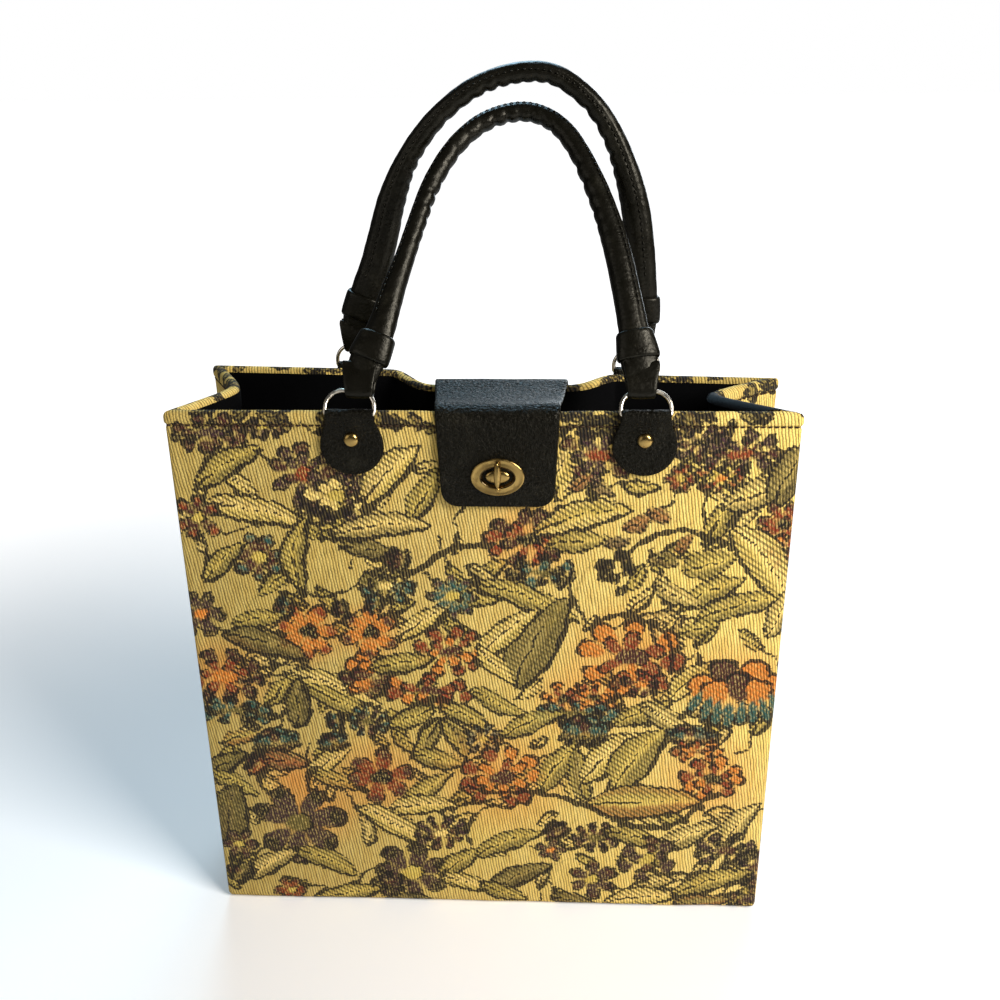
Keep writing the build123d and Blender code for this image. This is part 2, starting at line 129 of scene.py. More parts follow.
class ToteFittings(bpy.types.PropertyGroup):
    """Lock, rings and rivets."""

    brass: tint("Brass", "Aged brass", (0.36, 0.235, 0.075))
    tarnish: tint("Tarnish", "Dark bloom on the brass", (0.055, 0.038, 0.018))
    nickel: tint("Nickel", "Pale warm ring metal", (0.78, 0.71, 0.60))
    lock_drop: length("Lock drop", "From the rim to the middle of the lock", 0.0337)
    plate_width: length("Plate width", "Width of the lock's oval plate", 0.028)
    plate_height: length("Plate height", "Height of the lock's oval plate", 0.0205)
    hole_width: length("Hole width", "Width of the plate's opening", 0.0164)
    hole_height: length("Hole height", "Height of the plate's opening", 0.0102)
    blade_lift: length("Blade lift", "How far the knob's blade stands above the middle of the lock", 0.0024)
    wire: length("Ring wire", "Thickness of the ring wire", 0.0022)
    ring_width: length("Ring width", "Outer width of a ring", 0.0275)
    ring_height: length("Ring height", "Outer height of a ring", 0.015)
    rivet: length("Rivet", "Diameter of a rivet cap", 0.008)
    dome: length("Dome", "Height of a rivet cap", 0.0022)
    front_spacing: length("Front spacing", "Between the two front tabs", 0.1506)
    back_spacing: length("Back spacing", "Between the two back tabs", 0.1616)
    oval_steps: IntProperty(name="Oval steps", description="Points round an oval", default=72, min=12)


def body():
    return bpy.context.scene.tote_body


def cloth():
    return bpy.context.scene.tote_cloth


def leather():
    return bpy.context.scene.tote_leather


def fittings():
    return bpy.context.scene.tote_fittings


def yarn(name):
    """The colour of a yarn."""
    return np.array(getattr(cloth(), name))


# Mesh helpers, all in metres. A shape is a pair of points and faces

def grid_faces(rows, cols, wrap_rows=False, wrap_cols=False, flip=False):
    """Quads of a grid of points stored row by row."""
    r = np.arange(rows if wrap_rows else rows - 1)
    c = np.arange(cols if wrap_cols else cols - 1)
    r, c = np.meshgrid(r, c, indexing="ij")
    below, right = (r + 1) % rows, (c + 1) % cols
    corners = [r * cols + c, r * cols + right, below * cols + right, below * cols + c]
    quads = np.stack(corners, -1).reshape(-1, 4)
    return (quads[:, ::-1] if flip else quads).tolist()


def end_caps(rows, cols, first=True):
    """Faces that close the last ring of a tube, and its first one too."""
    caps = [list(range((rows - 1) * cols, rows * cols))]
    return [list(range(cols))[::-1]] + caps if first else caps


def new_piece(name, shape, look, on, nodes):
    """Adds a mesh object that rides on a body and takes the place of plain solids."""
    points, faces = shape
    mesh = bpy.data.meshes.new(name)
    mesh.from_pydata(np.asarray(points, float).tolist(), [], faces)
    mesh.validate()
    mesh.polygons.foreach_set("use_smooth", [True] * len(mesh.polygons))
    mesh.materials.append(material(look))
    obj = bpy.data.objects.new(name, mesh)
    bpy.context.scene.collection.objects.link(obj)
    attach(obj, on)
    if nodes:
        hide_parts(*nodes)
    return obj


def joined(shapes):
    """Several shapes as one."""
    points, faces, start = [], [], 0
    for p, f in shapes:
        points.extend(np.asarray(p, float).tolist())
        faces.extend([[i + start for i in face] for face in f])
        start += len(p)
    return points, faces


def unit(v):
    """Directions of length one."""
    v = np.asarray(v, float)
    return v / np.maximum(np.linalg.norm(v, axis=-1, keepdims=True), 1e-12)


def round_run(ring):
    """The direction of a closed line at each of its points."""
    return unit(np.roll(ring, -1, 0) - np.roll(ring, 1, 0))


def through(points, count):
    """A smooth line through given points, at an even number of steps."""
    p = np.asarray(points, float)
    p = np.vstack([2 * p[0] - p[1], p, 2 * p[-1] - p[-2]])
    s = np.linspace(0, len(p) - 3 - 1e-9, count)
    i = s.astype(int)
    t = (s - i)[:, None]
    a, b, c, d = p[i], p[i + 1], p[i + 2], p[i + 3]
    curve = (2 * a - 5 * b + 4 * c - d) * t ** 2
    return 0.5 * (2 * b + (c - a) * t + curve + (3 * b - a - 3 * c + d) * t ** 3)


def along_line(line):
    """Distance run along a line at each of its points."""
    return np.concatenate([[0], np.cumsum(np.linalg.norm(np.diff(line, axis=0), axis=1))])


def tube(line, radius, sides, closed=False):
    """A round tube along a line."""
    line = np.asarray(line, float)
    n = len(line)
    run = round_run(line) if closed else unit(np.gradient(line, axis=0))
    side = np.zeros_like(run)
    seed = UPWARDS if abs(run[0][2]) < 0.9 else np.array([1.0, 0.0, 0.0])
    side[0] = unit(np.cross(run[0], seed))
    for i in range(1, n):
        side[i] = unit(side[i - 1] - run[i] * (side[i - 1] @ run[i]))
    up = np.cross(run, side)
    turn = np.linspace(0, 2 * np.pi, sides, endpoint=False)
    radius = np.broadcast_to(np.asarray(radius, float), (n,))[:, None, None]
    ring = side[:, None] * np.cos(turn)[None, :, None] + up[:, None] * np.sin(turn)[None, :, None]
    points = (line[:, None] + ring * radius).reshape(-1, 3)
    faces = grid_faces(n, sides, wrap_rows=closed, wrap_cols=True)
    return points, faces if closed else faces + end_caps(n, sides)


def slab(grid, thick, lift=1.0):
    """A sheet of leather with round edges from a grid of points of its middle surface."""
    rows, cols = grid.shape[:2]
    half = 0.5 * thick
    across, up = np.gradient(grid, axis=1), np.gradient(grid, axis=0)
    normal = unit(np.cross(across, up)) * lift
    ring = [(0, c) for c in range(cols)] + [(r, cols - 1) for r in range(1, rows)]
    ring += [(rows - 1, c) for c in range(cols - 2, -1, -1)] + [(r, 0) for r in range(rows - 2, 0, -1)]
    rr, cc = np.array(ring).T
    edge, n_edge = grid[rr, cc], normal[rr, cc]
    out = unit(np.cross(round_run(edge), n_edge))
    centre = grid.reshape(-1, 3).mean(0)
    if np.mean(np.sum(out * (edge - centre), 1)) < 0:
        out = -out
    top = (grid + normal * half).reshape(-1, 3)
    low = (grid - normal * half).reshape(-1, 3)
    bulge = [edge + n_edge * half * math.cos(a) + out * half * math.sin(a)
             for a in np.radians([45, 90, 135])]
    points = np.vstack([top, low] + bulge)
    quads = grid_faces(rows, cols)
    faces = quads + [[i + rows * cols for i in q[::-1]] for q in quads]
    n, first = len(ring), 2 * rows * cols
    top_ring, low_ring = rr * cols + cc, rr * cols + cc + rows * cols
    bands = [top_ring] + [first + k * n + np.arange(n) for k in range(3)] + [low_ring]
    for upper, lower in zip(bands, bands[1:]):
        for i in range(n):
            j = (i + 1) % n
            faces.append([int(upper[j]), int(upper[i]), int(lower[i]), int(lower[j])])
    return points, faces


def oval_stack(centre, rings, steps, cap):
    """Rings of ovals in the panel's plane: each is (width, height, how far it stands out)."""
    turn = np.linspace(0, 2 * np.pi, steps, endpoint=False)
    across, up = 0.5 * np.cos(turn), 0.5 * np.sin(turn)
    points = [np.stack([centre[0] + width * across, np.full(steps, centre[1] - out),
                        centre[2] + height * up], -1) for width, height, out in rings]
    faces = grid_faces(len(rings), steps, wrap_cols=True)
    return np.vstack(points), faces + end_caps(len(rings), steps, False) if cap else faces


# Measures on the cloth, in millimetres

def soft(distance, blur=0.9):
    """A mask that fades out over a blur."""
    return np.clip(0.5 + distance / blur, 0, 1)


def turned(dx, dz, degrees):
    """A step as it is seen from axes turned by an angle."""
    c, s = math.cos(math.radians(degrees)), math.sin(math.radians(degrees))
    return dx * c + dz * s, dz * c - dx * s


# The bag's outline, from the base to the rim

def back_rim(x):
    """Where the back rim stands over a place across the bag."""
    b = body()
    line = b.left_back + (b.right_back - b.left_back) * (x / b.width + 0.5)
    away = np.clip((np.abs(x - b.middle) - b.drawn_half) / b.drawn_reach, 0, 1)
    return b.drawn_back + (line - b.drawn_back) * (0.5 - 0.5 * np.cos(np.pi * away))


def run_counts():
    """How many mesh cells go along each side of the bag."""
    b = body()
    wide, deep = round(b.width / b.cell), round(b.depth / b.cell)
    return {"front": wide, "right": deep, "back": wide, "left": deep}


def fold(share, depth):
    """How far a gusset stands in from its edges: a fold with a soft crease."""
    soft_share = 0.16
    bent = np.sqrt((2 * share - 1) ** 2 + soft_share ** 2)
    edge = math.sqrt(1 + soft_share ** 2)
    return depth * (edge - bent) / (edge - soft_share)


def outlines():
    """The base's and the rim's outline, point for point, going round from the front's left corner."""
    b = body()
    n = run_counts()
    w, d = 0.5 * b.width, 0.5 * b.depth
    s = {k: np.linspace(0, 1, c, endpoint=False) for k, c in n.items()}
    base = [np.stack([-w + 2 * w * s["front"], np.full(n["front"], -d)], -1),
            np.stack([np.full(n["right"], w), -d + 2 * d * s["right"]], -1),
            np.stack([w - 2 * w * s["back"], np.full(n["back"], d)], -1),
            np.stack([np.full(n["left"], -w), d - 2 * d * s["left"]], -1)]
    x_back = w - 2 * w * s["back"]
    rim = [base[0].copy(),
           np.stack([w - fold(s["right"], b.right_fold), -d + (b.right_back + d) * s["right"]], -1),
           np.stack([x_back, back_rim(x_back)], -1),
           np.stack([-w + fold(s["left"], b.left_fold), b.left_back - (b.left_back + d) * s["left"]], -1)]
    base, rim = np.vstack(base), np.vstack(rim)
    rounding_passes = 7
    for _ in range(rounding_passes):
        base = 0.5 * base + 0.25 * (np.roll(base, 1, 0) + np.roll(base, -1, 0))
        rim = 0.5 * rim + 0.25 * (np.roll(rim, 1, 0) + np.roll(rim, -1, 0))
    return base, rim


def level(base, rim, height, inset):
    """The outline at a height, moved in by inset."""
    thin, clear_share = 0.001, 0.93
    ring = base + (rim - base) * (height / body().height)
    run = round_run(ring)
    inward = np.stack([-run[:, 1], run[:, 0]], -1)
    moved = ring + inward * inset
    if float(np.max(inset)) < thin:
        return moved
    # In a sharp corner the moved points would cross the other wall, so they are drawn straight there
    gap = np.min(np.linalg.norm(moved[:, None] - ring[None], axis=-1), axis=1)
    good = np.nonzero(gap > clear_share * np.broadcast_to(np.ravel(inset), gap.shape))[0]
    count = len(ring)
    places, spread = np.concatenate([good - count, good, good + count]), np.arange(count)
    return np.stack([np.interp(spread, places, np.tile(moved[good, k], 3)) for k in (0, 1)], -1)


def rim_dip(x, y):
    """How far the flap's weight presses the front rim down."""
    deep, half_width = 0.0016, 0.03
    return deep * np.exp(-((x - body().middle) / half_width) ** 4) * (y < 0)


def wall_rows():
    """Rows of the walls from the base over the rolled hem: (height, inset, distance along the cloth)."""
    b = body()
    rows = [(b.base_round * (1 - math.cos(a)), b.base_round * (1 - math.sin(a)))
            for a in np.linspace(0, math.pi / 2, 6)[:-1]]
    hem_low = b.height - b.hem
    steps = round((hem_low - b.base_round) / (1.1 * b.cell))
    groove, proud, roll = 0.0006, 0.0007, 0.5 * b.hem_thick
    rows += [(h, 0.0) for h in np.linspace(b.base_round, hem_low - 0.0012, steps)]
    # The seam draws the cloth in, the hem stands proud above it and rolls over the edge
    rows += [(hem_low - 0.0005, 0.6 * groove), (hem_low, groove), (hem_low + 0.0005, 0.5 * groove),
             (hem_low + 0.0011, -0.5 * proud), (hem_low + 0.002, -proud), (hem_low + 0.0033, -proud)]
    roll += 0.5 * proud
    rows += [(b.height - roll + roll * math.sin(a), -proud + roll * (1 - math.cos(a)))
             for a in np.linspace(0, math.pi, 13)]
    rows += [(b.height - roll - k * b.cell, -proud + 2 * roll) for k in (1, 2)]
    rows = np.array(rows)
    return np.column_stack([rows, along_line(rows)])


class Painter:
    """Lays motifs on a panel of cloth, in millimetres across and up the cloth."""

    def __init__(self, across, up, seed):
        pitch, lean = cloth().pitch / MM, cloth().lean
        # The edges of motifs step from rib to rib and sway a little
        stepped = (np.floor((across + lean * up) / pitch) + 0.5) * pitch - lean * up
        rough = (np.sin(across / 2.3 + 1.7 * seed) * np.sin(up / 2.9)
                 + 0.7 * np.sin(across / 1.1 - up / 1.3 + seed))
        swing = np.sin(across / 6.1 + up / 4.7 + seed) + np.sin(across / 3.9 - up / 7.3)
        self.x = 0.5 * (across + stepped) + 0.45 * rough + 0.5 * swing
        self.z = up + 0.5 * np.roll(rough, 7) + 0.5 * np.sin(across / 5.3 - up / 6.7 + 2 * seed)
        # The ground is mottled, and painted shade darkens it towards the left, away from the light on the
        # right
        wave = (np.sin(across / 41 + seed) * np.sin(up / 53 + 2 * seed)
                + 0.6 * np.sin(across / 17 - up / 23 + seed))[:, None]
        share = 0.5 * np.clip(0.5 + 0.22 * wave, 0, 1)
        # Painted shade: the share by which the ground darkens towards the left
        left = np.clip(0.5 - across / 300, 0, 1)[:, None]
        ground = yarn("cream") * (1 - share) + yarn("gold") * share
        self.colour = ground * (1 - 0.42 * left) * (1 + 0.06 * wave)
        self.cover, self.line, self.hatch = np.zeros((3, len(across)))
        self.chance = np.random.default_rng(seed)

    def near(self, x, z, reach):
        """The points of the cloth round a place."""
        return np.nonzero((np.abs(self.x - x) < reach) & (np.abs(self.z - z) < reach))[0]

    def lay(self, pick, mask, colour, hatch=0.0):
        """Covers points with a yarn, and what was drawn on them before."""
        self.colour[pick] += mask[:, None] * (yarn(colour) - self.colour[pick])
        self.hatch[pick] += mask * (hatch - self.hatch[pick])
        self.line[pick] *= 1 - mask
        self.cover[pick] = np.maximum(self.cover[pick], mask)

    def ink(self, pick, mask):
        """Draws a dark line over points."""
        self.line[pick] = np.maximum(self.line[pick], mask)

    def patch(self, x, z, size, width, turn, colour, hatch, edge=0.0):
        """One woven patch of colour, broad at its outer end and inked round it."""
        pick = self.near(x, z, 0.8 * max(size, width) + 2)
        along, aside = turned(self.x[pick] - x, self.z[pick] - z, turn)
        u, v = 2 * along / size, 2 * aside / width
        rho, reach = np.hypot(u, v * (1.15 - 0.3 * u)), 0.25 * (size + width)
        self.lay(pick, soft((1 - rho) * reach), colour, hatch)
        self.ink(pick, soft(0.95 - np.abs(1 - rho) * reach, 0.8) * np.clip(0.65 + u, 0, 1) * edge)

    def leaf(self, x, z, size, width, turn, bend=0.0, fill="olive", back="gold", edge=1.0):
        """A pale pointed leaf, hatched along its sides, with a tapering vein."""
        pick = self.near(x, z, 0.6 * size + width)
        along, aside = turned(self.x[pick] - x, self.z[pick] - z, turn)
        s = np.clip(along / size + 0.5, 0, 1)
        aside = aside - bend * size * (1 - (2 * s - 1) ** 2)
        half = 0.5 * width * np.sin(np.pi * s ** 0.85) ** 0.8
        whole = soft(half - np.abs(aside)) * (half > 0)
        self.lay(pick, 0.7 * whole, back)
        self.lay(pick, 0.6 * whole * soft(-aside - 0.25 * half, 1.2), fill)
        self.lay(pick, 0.4 * whole * soft(aside - 0.55 * half, 1.2), fill)
        flanks = whole * soft(np.abs(aside + 0.1 * half) - 0.3 * half, 1.0)
        self.hatch[pick] = np.maximum(self.hatch[pick], flanks)
        vein = soft(0.85 * (1 - s) - np.abs(aside), 0.6) * (s < 0.82)
        self.ink(pick, whole * vein)
        # The outline is stronger below
        rim = soft(1.1 - np.abs(half - np.abs(aside)), 0.9) * (half > 0.3)
        self.ink(pick, rim * np.where(aside < 0, edge, 0.72 * edge))

    def daisy(self, x, z, radius, petals, petal, tip, heart, turn=0.0):
        """A flower of separate petals about a heart."""
        draw = self.chance.uniform
        for k in range(petals):
            way = turn + 360 * (k + draw(-0.12, 0.12)) / petals
            dx, dz = turned(radius, 0, -way)
            far = draw(0.56, 0.68)
            size, width = radius * draw(0.7, 0.95), radius * draw(3.6, 4.8) / (petals + 1)
            self.patch(x + far * dx, z + far * dz, size, width, way, petal, 0.6, 1.0)
            self.patch(x + 0.84 * dx, z + 0.84 * dz, 0.3 * radius, 0.42 * radius, way, tip, 0.35)
        self.patch(x, z, 0.66 * radius, 0.56 * radius, turn, heart, 0.0, 0.7)

    def bloom(self, x, z, width, height, turn, outer, inner, heart, scallops=7):
        """A full flower: rings of separate petals with the ground between them."""
        draw, mean = self.chance.uniform, 0.5 * (width + height)
        for share, hue, other, count in ((0.76, outer, inner, scallops + 2), (0.42, inner, outer, scallops)):
            for k in range(count):
                way = 2 * math.pi * (k + draw(-0.2, 0.2) + share) / count
                dx, dz = turned(0.5 * width * share * math.cos(way),
                                0.5 * height * share * math.sin(way), -turn)
                size, broad = mean * draw(0.18, 0.28), mean * draw(1.7, 2.3) * share / (0.7 * count + 1)
                self.patch(x + dx, z + dz, size, broad, math.degrees(math.atan2(dz, dx)),
                           hue if draw() < 0.75 else other, 0.6, draw(0.75, 1.0))
        self.patch(x, z, 0.3 * width, 0.26 * height, turn, heart, 0.4, 0.6)

    def bud(self, x, z, width, height, turn, top, base):
        """A half-open bud: folded petals above a ragged cup."""
        petals = ((-0.34, 0.02, top), (0.36, 0.04, top), (-0.14, 0.24, "maroon"), (0.16, 0.22, top),
                  (-0.22, -0.06, top), (0.02, 0.04, "maroon"), (0.22, -0.05, top))
        for share, lift, colour in petals:
            dx, dz = turned(share * width, lift * height, -turn)
            self.patch(x + dx, z + dz, 0.40 * height, 0.30 * width, turn + 90 - 70 * share, colour, 0.5, 1.0)
        for share in np.linspace(-0.42, 0.42, 8):
            drop = 0.38 - 0.9 * share ** 2 + self.chance.uniform(-0.04, 0.04)
            dx, dz = turned(share * width, -drop * height, -turn)
            self.patch(x + dx, z + dz, 0.38 * height, 0.13 * width, turn - 90 + 60 * share, base, 0.5, 0.9)

    def stem(self, points, width):
        """A dark stalk through given points."""
        line = through(points, 12 * len(points))
        low, high = line.min(0) - width - 1, line.max(0) + width + 1
        pick = np.nonzero((self.x > low[0]) & (self.x < high[0]) & (self.z > low[1]) & (self.z < high[1]))[0]
        away = np.full(len(pick), np.inf)
        for p in line:
            away = np.minimum(away, np.hypot(self.x[pick] - p[0], self.z[pick] - p[1]))
        self.ink(pick, soft(0.6 * width - away, 0.9))

    def halo(self, x, z, radius):
        """A warm glow round a flower."""
        pick = self.near(x, z, 1.4 * radius)
        rho = np.hypot(self.x[pick] - x, self.z[pick] - z) / radius
        glow = np.clip(1.2 - rho, 0, 1) * 0.5
        self.colour[pick] += glow[:, None] * (yarn("orange") - self.colour[pick])

    def berries(self, x, z, radius, count, colour):
        """A cluster of small round fruits."""
        for _ in range(count):
            a, r = self.chance.uniform(0, 2 * math.pi), radius * math.sqrt(self.chance.uniform(0, 1))
            self.bud(x + r * math.cos(a), z + r * math.sin(a), 4.5, 4.5, 90, colour, "dark")


def undergrowth(p, low, high, count):
    """Small dark-edged leaves and twigs under the large flowers."""
    draw = p.chance.uniform
    kinds = (("olive", "gold"), ("gold", "cream"), ("olive", "cream"))
    for _ in range(count):
        x, z = draw(low[0], high[0]), draw(low[1], high[1])
        turn, size = draw(0, 360), draw(13, 27)
        fill, back = kinds[p.chance.integers(len(kinds))]
        p.leaf(x, z, size, 0.36 * size, turn, draw(-0.08, 0.1), fill, back, draw(0.75, 1.0))
        if draw() < 0.45:
            c, s = math.cos(math.radians(turn)), math.sin(math.radians(turn))
            x, z = x - 0.5 * size * c, z - 0.5 * size * s
            p.stem([(x, z), (x - 7 * c + 3 * s, z - 7 * s - 3 * c), (x - 15 * c, z - 15 * s)], 1.2)

def front_garden(p):
    """The front panel's flowers and leaves, each laid over the ones before it.

    Every motif starts with its place across and up from the middle of the panel's foot.
    """
    undergrowth(p, (-165, 0), (165, 312), 170)
    p.bloom(-141, 313, 46, 20, 0, "maroon", "dark", "plum")
    p.bloom(-112, 316, 20, 12, 0, "maroon", "plum", "gold")
    p.leaf(-133, 294, 44, 15, 30, 0.06)
    p.stem([(-118, 303), (-110, 297), (-103, 296)], 1.6)
    p.bloom(-93, 290, 34, 38, 15, "maroon", "plum", "rust")
    p.bloom(-77, 278, 36, 34, 0, "plum", "cream", "gold", 6)
    p.bloom(-63, 286, 22, 20, 0, "maroon", "plum", "dark")
    p.stem([(-95, 276), (-88, 268), (-78, 267), (-70, 270)], 4.2)
    p.stem([(-66, 262), (-61, 269), (-60, 278)], 4.4)
    p.leaf(-121, 267, 58, 15, -12, 0.05, "gold", "cream")
    p.stem([(-140, 256), (-128, 259), (-112, 261)], 1.2)
    p.daisy(-153, 265, 12.5, 6, "maroon", "rust", "gold", 20)
    p.daisy(-122, 242, 13.5, 7, "maroon", "teal", "gold", 10)
    p.leaf(-142, 238, 34, 13, 42, 0.05)
    p.leaf(-95, 243, 50, 13, 82, 0.16)
    p.leaf(-47, 291, 46, 17, 45, 0.05, "gold", "cream")
    p.leaf(-32, 279, 34, 12, 60, -0.05, edge=0.8)
    p.leaf(-54, 259, 56, 14, 6, 0.05, "olive", "cream", 0.9)
    p.leaf(-60, 247, 34, 10, -8, 0.0, "dark", "olive", 0.8)
    p.stem([(-62, 233), (-48, 231), (-37, 234), (-26, 242), (-13, 250), (4, 249)], 3.0)
    p.bloom(-53, 225, 34, 20, -10, "teal", "olive", "cream", 8)
    p.bud(-47, 241, 14, 14, 80, "maroon", "dark")
    p.daisy(-17, 219, 13, 8, "teal", "plum", "gold")
    p.leaf(-34, 201, 38, 12, 35, 0.05, "gold", "cream", 0.8)
    p.stem([(-111, 232), (-99, 222), (-86, 218), (-68, 226)], 1.4)
    p.halo(-99, 196, 21)
    p.daisy(-99, 196, 17, 7, "orange", "rust", "dark", 8)
    p.halo(-64, 196, 19)
    p.daisy(-64, 196, 16, 6, "orange", "maroon", "dark", 25)
    p.bloom(-19, 184, 44, 32, 10, "rust", "orange", "maroon")
    p.bud(-111, 212, 14, 11, 70, "teal", "dark")
    p.bud(-80, 211, 11, 10, 90, "maroon", "dark")
    p.bud(-61, 214, 12, 10, 90, "teal", "olive")
    p.leaf(-126, 204, 34, 10, 12, edge=0.7)
    p.leaf(-123, 186, 52, 16, -18, 0.06, "dark", "olive")
    p.daisy(-158, 206, 14, 6, "plum", "dark", "orange")
    p.halo(-149, 166, 26)
    p.bloom(-149, 166, 50, 36, 5, "maroon", "rust", "orange")
    p.bloom(-147, 143, 54, 17, -6, "teal", "dark", "olive", 9)
    p.bloom(61, 302, 44, 30, 0, "maroon", "plum", "rust")
    p.leaf(40, 293, 26, 14, 60, 0.0, "gold", "cream", 0.4)
    p.leaf(52, 287, 16, 8, 30, 0.0, "maroon", "rust", 0.7)
    p.leaf(63, 283, 14, 7, -30, 0.0, "maroon", "plum", 0.7)
    p.bloom(112, 309, 34, 20, 0, "plum", "maroon", "dark")
    p.bloom(134, 303, 42, 24, 8, "plum", "maroon", "rust")
    p.bloom(124, 290, 28, 15, 0, "rust", "gold", "orange")
    p.daisy(104, 289, 8, 6, "rust", "maroon", "gold")
    p.stem([(119, 285), (116, 271), (119, 257)], 1.8)
    p.leaf(127, 265, 32, 11, 58, 0.06, edge=0.8)
    p.leaf(147, 280, 44, 15, 20, 0.05, "olive", "cream", 0.8)
    p.leaf(163, 292, 44, 20, 62, 0.08, "dark", "olive")
    p.daisy(158, 264, 12, 7, "rust", "maroon", "dark", 12)
    p.daisy(161, 248, 10, 6, "rust", "orange", "maroon")
    p.stem([(78, 246), (86, 253), (98, 259), (111, 259), (126, 253), (137, 247)], 2.6)
    p.leaf(148, 238, 58, 23, -55, 0.1, "gold", "cream")
    p.leaf(122, 240, 30, 17, 15, edge=0.6)
    p.leaf(107, 251, 14, 8, 50, 0.0, "maroon", "rust", 0.6)
    p.leaf(98, 242, 16, 9, -20, 0.0, "maroon", "olive", 0.6)
    p.berries(73, 235, 12, 12, "olive")
    p.halo(25, 254, 24)
    p.bloom(25, 254, 50, 32, 4, "maroon", "rust", "dark", 8)
    p.leaf(51, 253, 34, 12, 8, edge=0.7)
    p.leaf(54, 265, 56, 16, 15, 0.06, "cream", "gold")
    p.leaf(82, 263, 16, 9, 30, 0.0, "maroon", "rust", 0.6)
    p.leaf(94, 268, 15, 8, -15, 0.0, "maroon", "rust", 0.6)
    p.leaf(72, 252, 14, 7, 10, 0.0, "maroon", "plum", 0.6)
    p.bloom(32, 234, 42, 17, 4, "dark", "teal", "olive", 6)
    p.stem([(46, 236), (48, 222), (56, 206)], 1.8)
    p.leaf(24, 216, 62, 14, -22, 0.05, edge=0.9)
    p.leaf(33, 190, 66, 27, 62, 0.08, "olive", "olive")
    p.leaf(13, 194, 52, 14, 45, 0.06, "gold", "cream", 0.9)
    p.halo(82, 182, 34)
    p.bloom(82, 182, 62, 46, 0, "orange", "rust", "maroon", 6)
    p.bloom(88, 165, 34, 16, 0, "rust", "maroon", "orange", 5)
    p.stem([(56, 199), (72, 208), (90, 205), (103, 192), (105, 172)], 2.4)
    p.leaf(124, 222, 42, 13, 30, 0.05, edge=0.8)
    p.leaf(105, 221, 32, 11, -28, 0.0, "olive", "cream", 0.7)
    p.leaf(141, 213, 52, 14, 16, 0.06, edge=0.8)
    p.leaf(162, 211, 34, 15, 70, 0.0, "olive", "cream")
    p.leaf(118, 201, 24, 9, 20, edge=0.6)
    p.stem([(-140, 163), (-124, 166), (-109, 171), (-103, 180)], 1.4)
    p.leaf(-87, 158, 62, 14, -22, 0.05, "gold", "cream", 0.9)
    p.leaf(-84, 147, 52, 12, -32, 0.05, edge=0.8)
    p.leaf(-108, 149, 36, 14, 84, 0.0, "dark", "olive", 0.9)
    p.leaf(-119, 157, 26, 10, 50, edge=0.7)
    p.bud(-69, 168, 28, 28, 75, "orange", "maroon")
    p.leaf(-47, 176, 40, 12, 12, edge=0.9)
    p.bloom(-32, 158, 56, 20, -4, "rust", "orange", "maroon", 5)
    p.stem([(-42, 146), (-27, 153), (-12, 147)], 3.4)
    p.leaf(-45, 141, 36, 12, 205, 0.06)
    p.leaf(-12, 140, 36, 12, -28, 0.06)
    p.leaf(-36, 125, 36, 12, 240, 0.05, "gold", "olive")
    p.leaf(-18, 126, 34, 11, -62, 0.05, "gold", "olive")
    p.bud(-124, 124, 28, 16, 8, "teal", "dark")
    p.bud(-88, 136, 12, 10, 90, "teal", "dark")
    p.bud(-90, 123, 17, 12, 20, "teal", "dark")
    p.bloom(-68, 137, 24, 21, 0, "teal", "plum", "olive", 8)
    p.bloom(-1, 126, 22, 22, 0, "teal", "dark", "gold")
    p.leaf(-145, 125, 24, 9, 20, 0.0, "rust", "gold", 0.6)
    p.bud(-137, 107, 18, 13, 40, "maroon", "rust")
    p.halo(-116, 98, 20)
    p.leaf(-119, 108, 28, 13, -12, 0.0, "maroon", "rust", 0.8)
    p.leaf(-157, 105, 36, 13, 32, 0.0, "dark", "olive")
    p.leaf(-152, 92, 34, 12, -30, edge=0.9)
    p.leaf(-155, 69, 46, 24, 80, 0.05, "olive", "dark", 0.9)
    p.leaf(-93, 109, 32, 11, 32, 0.0, "gold", "cream", 0.8)
    p.leaf(-89, 95, 34, 11, -20, edge=0.8)
    p.halo(-63, 98, 31)
    p.daisy(-63, 98, 19, 6, "rust", "maroon", "dark", 15)
    p.leaf(-35, 91, 38, 12, 38, edge=0.8)
    p.leaf(-39, 76, 42, 14, 4, 0.06, "gold", "cream", 0.9)
    p.leaf(-28, 111, 34, 13, -12, 0.0, "dark", "gold", 0.9)
    p.halo(9, 99, 38)
    p.bloom(9, 99, 52, 44, 8, "rust", "orange", "maroon")
    p.stem([(-12, 92), (8, 88), (28, 90)], 1.8)
    p.halo(-104, 72, 27)
    p.daisy(-115, 63, 27, 7, "plum", "dark", "olive", 10)
    p.leaf(-57, 61, 54, 15, -36, 0.06, "gold", "cream")
    p.bloom(-28, 58, 36, 24, 10, "plum", "maroon", "cream", 8)
    p.stem([(-8, 72), (-12, 60), (-10, 50)], 2.2)
    p.daisy(-153, 46, 10.5, 6, "maroon", "plum", "gold")
    p.leaf(-134, 30, 42, 14, 34, 0.06, "olive", "cream", 0.9)
    p.leaf(-100, 33, 44, 14, -28, 0.06, edge=0.9)
    p.bud(-156, 26, 18, 16, 60, "olive", "dark")
    p.daisy(-48, 26, 22, 7, "plum", "dark", "gold", 20)
    p.bloom(-61, 19, 26, 14, 0, "dark", "plum", "maroon", 5)
    p.daisy(-124, 11, 10, 6, "rust", "maroon", "gold")
    p.leaf(-88, 9, 44, 14, 12)
    p.leaf(-18, 36, 34, 12, 42, edge=0.9)
    p.leaf(-13, 20, 36, 12, -16, 0.0, "gold", "cream", 0.9)
    p.leaf(6, 176, 34, 11, -50, 0.0, "gold", "cream", 0.7)
    p.leaf(119, 167, 42, 15, 40, 0.06, "cream", "gold", 0.9)
    p.halo(142, 166, 28)
    p.bud(142, 162, 54, 44, 0, "orange", "teal")
    p.halo(53, 152, 26)
    p.bloom(45, 154, 28, 22, 20, "orange", "rust", "dark", 5)
